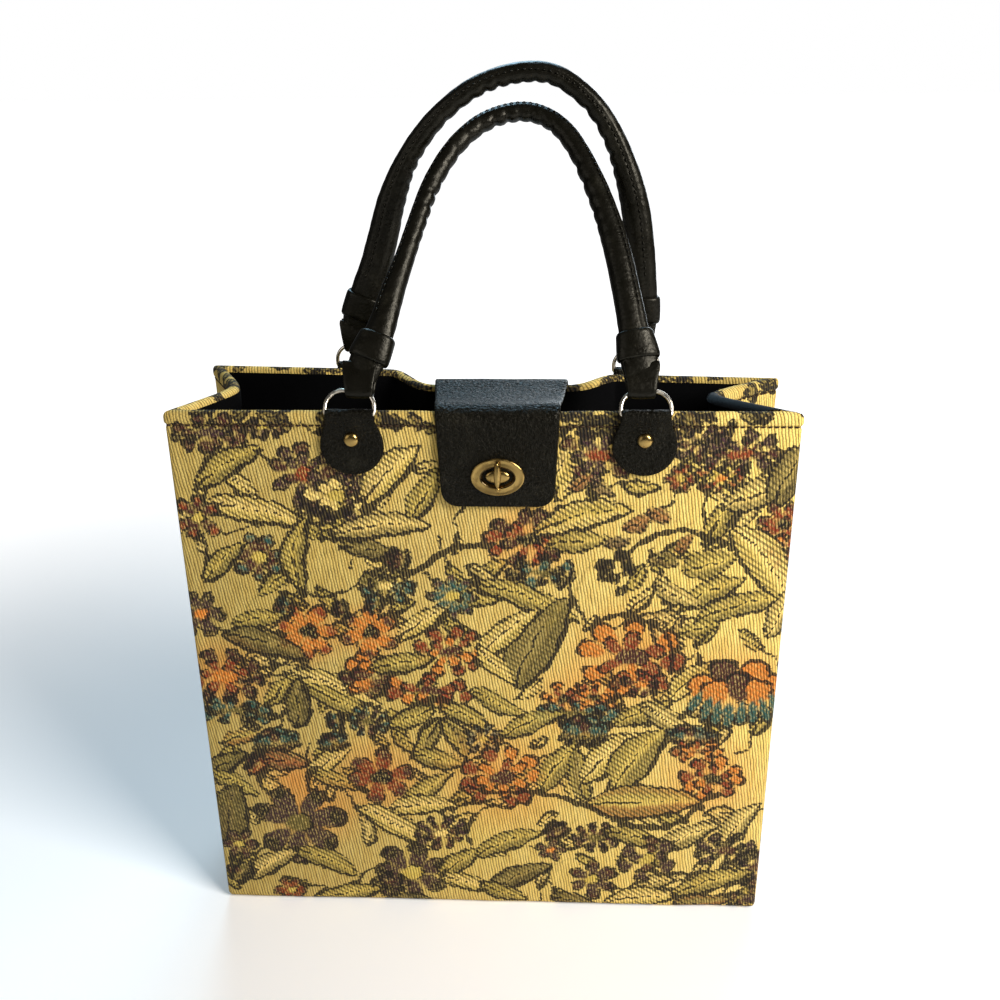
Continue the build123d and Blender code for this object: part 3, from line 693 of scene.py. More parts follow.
    p.bloom(62, 155, 28, 22, -20, "orange", "rust", "dark", 5)
    p.bloom(53, 144, 56, 13, 0, "teal", "dark", "olive", 9)
    p.bud(57, 134, 28, 20, 0, "teal", "dark")
    p.leaf(27, 136, 42, 13, 26, 0.06, edge=0.8)
    p.leaf(7, 151, 36, 12, -30, edge=0.8)
    p.leaf(89, 145, 38, 13, 24, edge=0.8)
    p.leaf(104, 141, 36, 13, -34, 0.0, "olive", "cream", 0.8)
    p.bud(118, 131, 30, 13, 0, "teal", "dark")
    p.bloom(122, 120, 34, 13, 0, "rust", "orange", "maroon", 5)
    p.leaf(43, 107, 42, 15, 58, 0.05, edge=0.8)
    p.leaf(56, 103, 40, 13, 100, 0.05, "gold", "olive", 0.8)
    p.leaf(73, 114, 50, 18, 46, 0.05, "gold", "cream", 0.9)
    p.leaf(90, 112, 56, 24, 58, 0.08)
    p.stem([(72, 98), (69, 88), (70, 78)], 1.8)
    p.leaf(93, 83, 70, 24, 4, 0.0, "rust", "gold")
    p.stem([(29, 89), (54, 82), (72, 72), (94, 64), (116, 70), (128, 85), (141, 92)], 2.8)
    p.halo(132, 101, 30)
    p.bloom(132, 101, 38, 30, 0, "orange", "rust", "dark", 6)
    p.leaf(151, 68, 38, 14, 60, 0.06, "olive", "cream", 0.8)
    p.bud(41, 62, 15, 12, 30, "plum", "maroon")
    p.bloom(66, 56, 32, 20, 6, "plum", "maroon", "olive", 8)
    p.daisy(39, 46, 8, 5, "plum", "maroon", "orange")
    p.leaf(13, 50, 46, 14, 24, 0.06, edge=0.8)
    p.leaf(89, 57, 42, 12, -14, edge=0.8)
    p.leaf(119, 56, 46, 14, 30, 0.05, "olive", "cream", 0.8)
    p.bloom(97, 41, 38, 32, 45, "plum", "maroon", "gold", 4)
    p.bloom(144, 48, 40, 26, 0, "plum", "dark", "maroon")
    p.bloom(162, 36, 26, 26, 0, "dark", "plum", "maroon", 6)
    p.daisy(64, 24, 14, 6, "plum", "maroon", "gold", 30)
    p.stem([(74, 20), (79, 11), (77, 2)], 1.8)
    p.leaf(19, 24, 46, 15, 26, 0.05, "dark", "olive")
    p.leaf(9, 13, 32, 11, -24)
    p.leaf(95, 9, 52, 15, 10, 0.05, "gold", "cream")
    p.leaf(54, 6, 32, 12, -16, 0.0, "maroon", "olive", 0.9)
    p.leaf(131, 8, 36, 12, 8, 0.0, "rust", "olive", 0.9)
    p.leaf(138, 23, 52, 14, 22, 0.05, edge=0.9)
    p.bloom(161, 12, 26, 30, 0, "dark", "maroon", "plum", 6)
    p.leaf(-50, 5, 30, 10, 6, 0.0, "dark", "olive")
    hem_flecks(p, -165, 165, 330, 60)


def hem_flecks(p, low, high, top, count):
    """Small dark ends of leaves that run over the hem."""
    draw = p.chance.uniform
    fills = ("dark", "maroon", "olive", "dark")
    for _ in range(count):
        x, z = draw(low, high), top - draw(0, 16)
        fill = fills[p.chance.integers(len(fills))]
        p.leaf(x, z, draw(6, 17), draw(3, 7), draw(0, 180), 0.05, fill, "olive", 0.9)


def meadow(p, low, high):
    """The same flowers and leaves scattered over a panel that is seldom seen."""
    step, hem_clear, leaf_room, fleck_room = 31.0, 34.0, 620, 5
    flowers = (("rust", "orange", "maroon"), ("maroon", "plum", "gold"), ("plum", "dark", "gold"),
               ("teal", "plum", "gold"), ("orange", "rust", "dark"), ("maroon", "rust", "orange"))
    leaves = (("olive", "gold"), ("gold", "cream"), ("dark", "olive"), ("olive", "cream"))
    draw = p.chance.uniform
    wide, tall = high[0] - low[0], high[1] - low[1]
    places = [(x, z) for x in np.arange(low[0], high[0] + step, step)
              for z in np.arange(low[1], high[1] - hem_clear, step)]
    undergrowth(p, low, (high[0], high[1] - hem_clear), round(wide * tall / leaf_room))
    for x, z in places:
        x, z = x + draw(-16, 16), z + draw(-16, 16)
        fill, back = leaves[p.chance.integers(len(leaves))]
        p.leaf(x, z, draw(28, 56), draw(10, 18), draw(0, 360), draw(-0.06, 0.08), fill, back, draw(0.7, 1.0))
    for k, (x, z) in enumerate(places):
        x, z = x + draw(-10, 10), z + draw(-10, 10)
        petal, tip, heart = flowers[p.chance.integers(len(flowers))]
        size, turn = draw(9, 21), draw(0, 60)
        if petal in ("rust", "orange") and size > 13:
            p.halo(x, z, 1.4 * size)
        if k % 3 == 0:
            p.daisy(x, z, size, int(p.chance.integers(5, 9)), petal, tip, heart, turn)
        elif k % 3 == 1:
            p.bloom(x, z, 2.3 * size, 1.6 * size, turn, petal, tip, heart, int(p.chance.integers(5, 9)))
        else:
            p.bud(x, z, 1.2 * size, size, turn, petal, tip)
            p.stem([(x, z), (x + 8, z - 14), (x + 2, z - 28)], 1.8)
    hem_flecks(p, low[0], high[0], high[1], round(wide / fleck_room))


# Materials

def new_group(name, inputs, outputs):
    """A node group with its sockets, and its first and last node."""
    group = bpy.data.node_groups.new(name, "ShaderNodeTree")
    for label, kind in inputs:
        group.interface.new_socket(name=label, in_out="INPUT", socket_type=kind)
    for label, kind in outputs:
        group.interface.new_socket(name=label, in_out="OUTPUT", socket_type=kind)
    return group, group.nodes.new("NodeGroupInput"), group.nodes.new("NodeGroupOutput")


def sums(tree, kind, a, b=None, c=None):
    """A math node; each term is a number or a socket."""
    node = tree.nodes.new("ShaderNodeMath")
    node.operation = kind
    for socket, value in zip(node.inputs, (a, b, c)):
        if isinstance(value, bpy.types.NodeSocket):
            tree.links.new(value, socket)
        elif value is not None:
            socket.default_value = value
    return node.outputs[0]


def ramp(tree, value, low, high, to_low=0.0, to_high=1.0):
    """Maps a value smoothly from one range to another."""
    node = tree.nodes.new("ShaderNodeMapRange")
    node.interpolation_type = "SMOOTHSTEP"
    tree.links.new(value, node.inputs["Value"])
    for label, number in (("From Min", low), ("From Max", high), ("To Min", to_low), ("To Max", to_high)):
        node.inputs[label].default_value = number
    return node.outputs["Result"]


def blend(tree, share, a, b, kind="MIX"):
    """Mixes two colours; each is a colour or a socket, and so is the share."""
    node = tree.nodes.new("ShaderNodeMix")
    node.data_type = "RGBA"
    node.blend_type = kind
    for socket, value in zip((node.inputs[0], node.inputs[6], node.inputs[7]), (share, a, b)):
        if isinstance(value, bpy.types.NodeSocket):
            tree.links.new(value, socket)
        elif isinstance(value, float):
            socket.default_value = value
        else:
            socket.default_value = (*value[:3], 1.0)
    return node.outputs[2]


def clouds(tree, place, scale, detail, rough=0.5):
    """Soft noise from 0 to 1."""
    node = tree.nodes.new("ShaderNodeTexNoise")
    node.inputs["Scale"].default_value = scale
    node.inputs["Detail"].default_value = detail
    node.inputs["Roughness"].default_value = rough
    tree.links.new(place, node.inputs["Vector"])
    return node.outputs["Fac"]


def cells(tree, place):
    """Distance to the middle of the nearest of many rounded cells."""
    node = tree.nodes.new("ShaderNodeTexVoronoi")
    node.feature = "SMOOTH_F1"
    node.inputs["Scale"].default_value = 1.0
    node.inputs["Smoothness"].default_value = 0.35
    tree.links.new(place, node.inputs["Vector"])
    return node.outputs["Distance"]


def stretched(tree, place, scale, turn=0.0):
    """A place scaled along each axis, and turned about the upright one."""
    node = tree.nodes.new("ShaderNodeMapping")
    node.inputs["Scale"].default_value = scale
    node.inputs["Rotation"].default_value = (0.0, 0.0, turn)
    tree.links.new(place, node.inputs["Vector"])
    return node.outputs["Vector"]


def own_place(tree):
    """A point's place on its own piece."""
    return tree.nodes.new("ShaderNodeTexCoord").outputs["Object"]


def weave_group():
    """Ribbed weave: the yarn's colour broken by ribs, painted shade in the gaps between them, outlines and
    hatching.
    """
    group, start, end = new_group(
        "Ribbed weave",
        [("Place", "NodeSocketVector"), ("Yarn", "NodeSocketColor"), ("Outline", "NodeSocketFloat"),
         ("Hatch", "NodeSocketFloat"), ("Cover", "NodeSocketFloat")],
        [("Color", "NodeSocketColor"), ("Height", "NodeSocketFloat")],
    )
    c = cloth()
    pitch = c.pitch / MM
    float_length, hatch_turns = 1.9, 3.1
    hatch_colour = (0.055, 0.042, 0.014)
    place = start.outputs["Place"]

    def spots(scale, detail=2.0, rough=0.5):
        return clouds(group, stretched(group, place, scale), 1.0, detail, rough)

    def times(a, b):
        return sums(group, "MULTIPLY", a, b)

    def less(a, b):
        return sums(group, "SUBTRACT", a, b)

    def times_add(a, b, to):
        return sums(group, "MULTIPLY_ADD", a, b, to)

    split = group.nodes.new("ShaderNodeSeparateXYZ")
    group.links.new(place, split.inputs[0])
    x, z = split.outputs[0], split.outputs[1]
    # Ribs run up the cloth and wander; short floats cross every second one in turn
    rib = times_add(z, c.lean / pitch, sums(group, "DIVIDE", x, pitch))
    rib = times_add(less(spots((0.05, 0.03, 0.05)), 0.5), 0.9, rib)
    rib = times_add(less(spots((0.3, 0.16, 0.3)), 0.5), 0.8, rib)
    wave = sums(group, "ABSOLUTE", sums(group, "SINE", times(rib, math.pi)))
    cord = sums(group, "POWER", wave, 0.8)
    odd = times(sums(group, "MODULO", sums(group, "FLOOR", rib), 2.0), 0.5)
    float_run = sums(group, "FRACT", sums(group, "ADD", sums(group, "DIVIDE", z, float_length), odd))
    tick = ramp(group, sums(group, "ABSOLUTE", less(float_run, 0.5)), 0.36, 0.5)
    height = less(cord, times(tick, 0.3))
    # Outlines are ragged and broken into dashes, and hatching follows the same slope
    edge = times_add(less(spots((0.45, 0.9, 1.0), 1.0), 0.5), 0.55, start.outputs["Outline"])
    slope = sums(group, "ADD", times(x, 0.42), times(z, 0.62))
    dash = sums(group, "SINE", times(slope, hatch_turns))
    edge = ramp(group, times_add(dash, 0.16, edge), 0.36, 0.56)
    stripe = times(ramp(group, dash, -0.35, 0.5), start.outputs["Hatch"])
    streak = ramp(group, spots((0.5, 0.06, 1.0)), 0.3, 0.7, 0.0, 0.35)
    colour = blend(group, streak, start.outputs["Yarn"], c.gold, "MULTIPLY")
    colour = blend(group, times(stripe, 0.74), colour, hatch_colour)
    # Cream flecks of the ground show through the motifs
    fleck = ramp(group, spots((0.75, 0.42, 1.0), 3.0, 0.6), 0.44, 0.66)
    fleck = times(fleck, ramp(group, cord, 0.45, 0.95))
    fleck = times(fleck, start.outputs["Cover"])
    colour = blend(group, times(fleck, 0.36), colour, c.cream)
    edge = times(edge, ramp(group, cord, 0.6, 1.0, 1.0, 0.80))
    colour = blend(group, edge, colour, c.dark)
    # Painted shade darkens the gaps between ribs, some more deeply than others, and the ends of the short
    # floats
    depth = ramp(group, spots((0.4, 0.14, 1.0)), 0.3, 0.7, 0.55, 1.05)
    gap = times_add(ramp(group, cord, 0.25, 0.85, -0.84, 0.0), depth, 1.16)
    gap = times(gap, less(1.0, times(tick, 0.22)))
    shade = group.nodes.new("ShaderNodeCombineColor")
    for socket in shade.inputs:
        group.links.new(gap, socket)
    colour = blend(group, 1.0, colour, shade.outputs[0], "MULTIPLY")
    group.links.new(colour, end.inputs["Color"])
    group.links.new(height, end.inputs["Height"])
    return group


def grain_group():
    """Pebbled leather with fine creases, and rubbed patches on the grain tops that are partly painted sheen.
    """
    group, start, end = new_group(
        "Leather grain",
        [("Place", "NodeSocketVector"), ("Crease", "NodeSocketFloat")],
        [("Height", "NodeSocketFloat"), ("Rub and sheen", "NodeSocketFloat"), ("Roughness", "NodeSocketFloat")],
    )
    place = start.outputs["Place"]
    pebble = sums(group, "SUBTRACT", 1.0, cells(group, stretched(group, place, (470.0, 620.0, 620.0))))
    fine = clouds(group, place, 1500.0, 2.0)
    folds = clouds(group, stretched(group, place, (520.0, 520.0, 300.0), 0.5), 1.0, 3.0)
    ridge = sums(group, "ABSOLUTE", sums(group, "SUBTRACT", folds, 0.5))
    crease = sums(group, "MULTIPLY", ramp(group, ridge, 0.0, 0.09, -1.0, 0.0), start.outputs["Crease"])
    height = sums(group, "MULTIPLY_ADD", pebble, 0.9, sums(group, "MULTIPLY_ADD", fine, 0.25, crease))
    # Rubbed patches, partly painted sheen, lie paler on the tops of the pebbles
    rub_and_sheen = ramp(group, clouds(group, place, 70.0, 4.0, 0.6), 0.5, 0.75)
    dull = ramp(group, clouds(group, place, 160.0, 3.0), 0.3, 0.7, 0.26, 0.40)
    group.links.new(height, end.inputs["Height"])
    group.links.new(sums(group, "MULTIPLY", rub_and_sheen, pebble), end.inputs["Rub and sheen"])
    group.links.new(dull, end.inputs["Roughness"])
    return group


def tarnish_group():
    """Worn metal: how far it is tarnished, how rough it is and its fine scratches."""
    group, start, end = new_group(
        "Aged metal",
        [("Place", "NodeSocketVector")],
        [("Tarnish", "NodeSocketFloat"), ("Roughness", "NodeSocketFloat"), ("Height", "NodeSocketFloat")],
    )
    place = start.outputs["Place"]
    bloom = ramp(group, clouds(group, place, 150.0, 4.0, 0.6), 0.42, 0.72)
    group.links.new(bloom, end.inputs["Tarnish"])
    group.links.new(ramp(group, bloom, 0.0, 1.0, 0.22, 0.48), end.inputs["Roughness"])
    scratches = clouds(group, stretched(group, place, (200.0, 200.0, 900.0)), 1.0, 2.0)
    group.links.new(scratches, end.inputs["Height"])
    return group


def new_material(name):
    """A material with its node tree and shader."""
    material = bpy.data.materials.new(name)
    material.use_nodes = True
    tree = material.node_tree
    return material, tree, tree.nodes["Principled BSDF"]


def use_group(tree, group):
    node = tree.nodes.new("ShaderNodeGroup")
    node.node_tree = group
    return node


def bumped(tree, shader, height, depth, strength):
    """Fine relief on a shader from a height."""
    node = tree.nodes.new("ShaderNodeBump")
    node.inputs["Distance"].default_value = depth
    node.inputs["Strength"].default_value = strength
    tree.links.new(height, node.inputs["Height"])
    tree.links.new(node.outputs[0], shader.inputs["Normal"])


def tapestry_material(group):
    """The woven cloth, from the three layers of values that a painter leaves on it."""
    _, tree, shader = new_material("Tapestry")
    weave = use_group(tree, group)
    layers = {}
    for label in ("cloth", "yarn", "mark"):
        layers[label] = tree.nodes.new("ShaderNodeAttribute")
        layers[label].attribute_name = label
    tree.links.new(layers["cloth"].outputs["Vector"], weave.inputs["Place"])
    tree.links.new(layers["yarn"].outputs["Color"], weave.inputs["Yarn"])
    split = tree.nodes.new("ShaderNodeSeparateColor")
    tree.links.new(layers["mark"].outputs["Color"], split.inputs[0])
    for value, label in zip(split.outputs, ("Outline", "Hatch", "Cover")):
        tree.links.new(value, weave.inputs[label])
    tree.links.new(weave.outputs["Color"], shader.inputs["Base Color"])
    shader.inputs["Roughness"].default_value = 0.82
    shader.inputs["Specular IOR Level"].default_value = 0.25
    bumped(tree, shader, weave.outputs["Height"], 0.0005, 0.7)


def leather_material(name, group, crease, worn_and_sheen, gloss, relief):
    """Grained leather, paler where it is rubbed and where sheen is painted on the grain."""
    _, tree, shader = new_material(name)
    grain = use_group(tree, group)
    grain.inputs["Crease"].default_value = crease
    tree.links.new(own_place(tree), grain.inputs["Place"])
    # Mixes in the paler colour for wear and painted sheen
    share = sums(tree, "MULTIPLY", grain.outputs["Rub and sheen"], worn_and_sheen)
    tree.links.new(blend(tree, share, leather().black, leather().worn_and_sheen), shader.inputs["Base Color"])
    tree.links.new(grain.outputs["Roughness"], shader.inputs["Roughness"])
    shader.inputs["Specular IOR Level"].default_value = gloss
    shader.inputs["Specular Tint"].default_value = (1.0, 0.94, 0.78, 1.0)
    bumped(tree, shader, grain.outputs["Height"], 0.0008, relief)


def metal_material(name, group, bright, dark, share):
    """Metal of one colour with patches of another."""
    _, tree, shader = new_material(name)
    wear = use_group(tree, group)
    tree.links.new(own_place(tree), wear.inputs["Place"])
    tarnish = sums(tree, "MULTIPLY", wear.outputs["Tarnish"], share)
    tree.links.new(blend(tree, tarnish, bright, dark), shader.inputs["Base Color"])
    tree.links.new(wear.outputs["Roughness"], shader.inputs["Roughness"])
    shader.inputs["Metallic"].default_value = 1.0
    bumped(tree, shader, wear.outputs["Height"], 0.00005, 0.3)


def plain_material(name, colour, rough, scale, depth):
    """Lining or thread: one colour with its own fine texture."""
    _, tree, shader = new_material(name)
    speck = clouds(tree, own_place(tree), scale, 3.0)
    lighter = [min(1.0, 1.5 * v) for v in colour]
    tree.links.new(blend(tree, ramp(tree, speck, 0.35, 0.7), colour, lighter), shader.inputs["Base Color"])
    shader.inputs["Roughness"].default_value = rough
    shader.inputs["Specular IOR Level"].default_value = 0.06
    bumped(tree, shader, speck, depth, 0.4)


def make_materials():
    weave, grain, tarnish = weave_group(), grain_group(), tarnish_group()
    f, c = fittings(), cloth()
    tapestry_material(weave)
    leather_material("Flap leather", grain, 0.4, 0.7, 0.11, 1.0)
    leather_material("Tab leather", grain, 0.3, 0.8, 0.10, 0.9)
    leather_material("Handle leather", grain, 0.2, 0.6, 0.20, 0.18)
    metal_material("Aged brass", tarnish, f.brass, f.tarnish, 0.38)
    metal_material("Dark brass", tarnish, f.tarnish, f.brass, 0.35)
    metal_material("Pale nickel", tarnish, f.nickel, f.brass, 0.12)
    plain_material("Black satin", c.lining, 0.6, 900.0, 0.0001)
    plain_material("Dark thread", c.thread, 0.7, 4000.0, 0.0001)


def material(name):
    """The material of a name, made with the others on first use."""
    if name not in bpy.data.materials:
        make_materials()
    return bpy.data.materials[name]


# Cloth pieces

def dress_panel(name, points, shape, across, up, garden, nodes):
    """A panel of tapestry from a grid of points, painted by a garden."""
    rows, cols = shape
    obj = new_piece(name, (points, grid_faces(rows, cols)), "Tapestry", "bag", nodes)
    mesh = obj.data
    painter = Painter(across / MM, up / MM, len(name))
    garden(painter)
    full = np.ones(len(up))
    layers = (("cloth", "FLOAT_VECTOR", "vector", [across / MM, up / MM, 0 * full]),
              ("yarn", "FLOAT_COLOR", "color", [painter.colour, full]),
              ("mark", "FLOAT_COLOR", "color", [painter.line, painter.hatch, painter.cover, full]))
    for label, kind, key, values in layers:
        layer = mesh.attributes.new(label, kind, "POINT")
        layer.data.foreach_set(key, np.column_stack(values).ravel())
    loops = np.empty(len(mesh.loops), int)
    mesh.loops.foreach_get("vertex_index", loops)
    u, v = (loops % cols) / (cols - 1), (loops // cols) / (rows - 1)
    flat_map = mesh.uv_layers.new(name="OFBake")
    flat_map.data.foreach_set("uv", np.column_stack([u, v]).ravel())
    return obj


def swell(x, z):
    """Small swells of the cloth, in metres."""
    broad = 0.0009 * noise.noise(Vector((x * 14, z * 12, 3.0)))
    return broad + 0.0005 * noise.noise(Vector((x * 45, z * 30, 8.0)))


class TOTE_OT_tapestry(bpy.types.Operator):
    """Sews the front, back, sides and base of tapestry"""

    bl_idname = "tote.tapestry"
    bl_label = "Tapestry body"

    def execute(self, context):
        b = body()
        base, rim = outlines()
        rows, counts, total = wall_rows(), run_counts(), len(base)
        run = along_line(base)
        walls = np.array([np.column_stack([level(base, rim, h, inset), np.full(total, h)])
                          for h, inset, _ in rows])
        # The front and the back swell a little, less towards the rim
        flat_half = 0.48 * b.width
        for wall, h in zip(walls, rows[:, 0]):
            share = min(1.0, h / b.height)
            for point, s in zip(wall, run):
                if abs(point[0]) < flat_half:
                    out = swell(s, h) * (1 - share ** 10)
                    point[1] += -out if point[1] < 0 else out
        near_top = np.clip((rows[:, 0] / b.height - 0.9) / 0.1, 0, 1)[:, None]
        walls[:, :, 2] -= rim_dip(walls[:, :, 0], walls[:, :, 1]) * near_top
        high, start = rows[-1, 2], 0
        for side, nodes in (("front", ["front_panel", "front_stiffener"]), ("right", ["right_gusset"]),
                            ("back", ["back_panel", "back_stiffener"]), ("left", ["left_gusset"])):
            index = (start + np.arange(counts[side] + 1)) % total
            start += counts[side]
            wide = counts[side] * b.cell
            across = np.tile(np.linspace(-wide / 2, wide / 2, len(index)), len(rows))
            up = np.repeat(rows[:, 2], len(index))
            reach = wide / MM / 2

            def scatter(p):
                meadow(p, (-reach, 0), (reach, high / MM))

            dress_panel(side + "_cloth", walls[:, index].reshape(-1, 3), (len(rows), len(index)), across, up,
                        front_garden if side == "front" else scatter, nodes)
        self.lay_base(level(base, rim, 0.0, b.base_round))
        return {"FINISHED"}

    def lay_base(self, ring):
        """The bottom panel inside a ring, with round corners."""
        b = body()
        low, far = ring.min(0), ring.max(0)
        cols, deep = round(b.width / b.cell / 2), round(b.depth / b.cell / 2)
        xs, ts = np.linspace(low[0], far[0], cols), np.linspace(-1, 1, deep)
        corner = 0.004
        over = np.clip(np.abs(xs) - (far[0] - corner), 0, corner)
        half = far[1] - corner + np.sqrt(np.maximum(corner ** 2 - over ** 2, 0))
        gx, gt = np.meshgrid(xs, ts)
        gy = gt * half[None, :]
        points = np.column_stack([gx.ravel(), gy.ravel(), np.zeros(gx.size)])
        reach = (far / MM).tolist()
        obj = dress_panel("base_cloth", points, (deep, cols), gx.ravel(), gy.ravel(),
                          lambda p: meadow(p, (-reach[0], -reach[1]), reach),
                          ["base_panel", "base_board"])
        obj.data.flip_normals()


class TOTE_OT_lining(bpy.types.Operator):
    """Hangs the black lining inside the bag"""

    bl_idname = "tote.lining"
    bl_label = "Lining"

    def execute(self, context):
        b = body()
        base, rim = outlines()
        base, rim = base[::2], rim[::2]
        gap, sag, tightest, floor = 0.0004, 0.0010, -0.0008, 0.0065
        top = b.height - 0.5 * b.hem_thick
        heights = np.concatenate([np.linspace(floor, 0.2 * b.height, 14),
                                  np.linspace(0.22 * b.height, top, 70)])
        run = along_line(base)
        layers = []
        for h in heights:
            loose = math.sin(math.pi * min(1.0, h / b.height)) ** 0.5
            slack = np.array([0.0018 * noise.noise(Vector((s * 22, h * 9, 7.0)))
                              + 0.0010 * noise.noise(Vector((s * 60, h * 25, 1.0))) for s in run])
            slack = np.maximum(slack, tightest)[:, None]
            ring = level(base, rim, h, b.hem_thick + gap + sag * loose + slack * loose)
            layers.append(np.column_stack([ring, np.full(len(ring), h)]))
        n = len(run)
        walls = grid_faces(len(heights), n, wrap_cols=True, flip=True) + [list(range(n))]
        # On the right the front half of the gusset is turned over, so its lining lies on the hem
        counts = run_counts()
        over = np.arange(counts["front"] + 3, counts["front"] + round(0.52 * counts["right"])) // 2
        roll = 0.5 * b.hem_thick + gap
        strip = []
        for a in np.linspace(0.0, 0.72 * math.pi, 9):
            ring = level(base, rim, b.height, roll + (roll + 0.0004) * math.cos(a))
            height = b.height - roll + (roll + 0.0006) * math.sin(a)
            strip.append(np.column_stack([ring[over], np.full(len(over), height)]))
        fold_over = (np.vstack(strip), grid_faces(len(strip), len(over), flip=True))
        shape = joined([(np.vstack(layers), walls), fold_over])
        obj = new_piece("lining_bag", shape, "Black satin", "bag", ["lining"])
        return {"FINISHED"}


def at_run(s, run, values):
    """Values given along a line, read at other distances along it."""
    return np.stack([np.interp(s, run, values[:, i]) for i in range(3)], -1)


def stitch_line(points, normals, pitch, width, share=0.62):
    """Short threads laid end to end along a line on a surface."""
    run = along_line(points)
    arch = np.sin(np.linspace(0, math.pi, 6))
    parts = []
    for k in range(int(run[-1] / pitch)):
        s = np.linspace(k * pitch, (k + share) * pitch, 6)
        line = at_run(s, run, points) + at_run(s, run, normals) * (width * (0.9 * arch - 0.35))[:, None]
        parts.append(tube(line, width * (0.35 + 0.4 * arch), 6))
    return parts


class TOTE_OT_stitches(bpy.types.Operator):
    """Sews the dark thread under the hem"""

    bl_idname = "tote.stitches"
    bl_label = "Hem stitches"

    def execute(self, context):
        b = body()
        groove, pitch, thread = 0.0004, 0.0034, 0.0007
        ring = level(*outlines(), b.height - b.hem, groove)
        run = round_run(ring)
        normals = np.column_stack([run[:, 1], -run[:, 0], np.zeros(len(ring))])
        points = np.column_stack([ring, b.height - b.hem - 0.7 * rim_dip(ring[:, 0], ring[:, 1])])
        points, normals = np.vstack([points, points[:1]]), np.vstack([normals, normals[:1]])
        shape = joined(stitch_line(points, normals, pitch, thread, 0.8))
        new_piece("hem_stitches", shape, "Dark thread", "bag", ())
        return {"FINISHED"}


# Leather and metal pieces

def flap_line():
    """The flap's middle line from the tail at the back over both rims to the tip: (y, z) points."""
    b, t = body(), leather()
    half, gap = 0.5 * t.flap_leather, 0.0006
    top = b.height + gap + half
    lean = (0.5 * b.depth - b.drawn_back) / b.height
    back = b.drawn_back + half + gap + 0.0006
    front = -0.5 * b.depth - half - gap - 0.0008
    tail = [(back + lean * k * t.flap_tail, b.height - k * t.flap_tail) for k in (1.0, 0.75, 0.5, 0.25, 0.1)]
    over = [(back - 0.0004, b.height - 0.001), (back - 0.0022, top - 0.0002), (back - 0.006, top + 0.0006)]
    rest = [(-0.012, top - 0.0012), (-0.022, top - 0.0022), (-0.033, top - 0.0016)]
    bend = [(front + 0.0092, top + 0.0006), (front + 0.0038, top - 0.0006),
            (front + 0.0008, top - 0.0042), (front, top - 0.0095)]
    drop = [(front - 0.0002, b.height - k * t.flap_drop) for k in (0.25, 0.4, 0.55, 0.7, 0.85, 1.0)]
    return tail + over + rest + bend + drop


class TOTE_OT_flap(bpy.types.Operator):
    """Cuts the leather flap that closes the bag"""

    bl_idname = "tote.flap"
    bl_label = "Flap"

    def execute(self, context):
        b, t = body(), leather()
        cols, ripple_height = 56, 0.0007
        line = through(flap_line(), 150)
        run = along_line(line)
        whole, r = run[-1], t.flap_corner
        s = np.concatenate([np.linspace(0, 1, 9)[:-1] ** 1.6 * r, np.linspace(r, whole - r, 118),
                            whole - np.linspace(1, 0, 10)[1:] ** 1.6 * r])
        y, z = np.interp(s, run, line[:, 0]), np.interp(s, run, line[:, 1])
        wide = np.interp(s, [0, t.flap_tail, whole - t.flap_drop, whole],
                         [t.flap_back_width, t.flap_back_width, t.flap_front_width, t.flap_tip_width])
        for end in (s, whole - s):
            d = np.clip(end, 0, r)
            wide = wide - 2 * (r - np.sqrt(np.maximum(r ** 2 - (r - d) ** 2, 0)))
        x = b.middle + wide[:, None] * np.linspace(-0.5, 0.5, cols)[None, :]
        grid = np.stack([x, np.repeat(y[:, None], cols, 1), np.repeat(z[:, None], cols, 1)], -1)
        lying = np.clip(1 - np.abs(np.linspace(-1, 1, len(s)) - 0.1) * 1.3, 0, 1)
        for row, step, share in zip(grid, s, lying):
            for point in row:
                ripple = noise.noise(Vector((point[0] * 60 + step * 30, step * 55, 2.0)))
                point[2] += ripple_height * ripple * share
        points, faces = slab(grid, t.flap_leather, -1.0)
        shape = points, [f[::-1] for f in faces]
        new_piece("flap", shape, "Flap leather", "bag", ["closure_flap"])
        return {"FINISHED"}


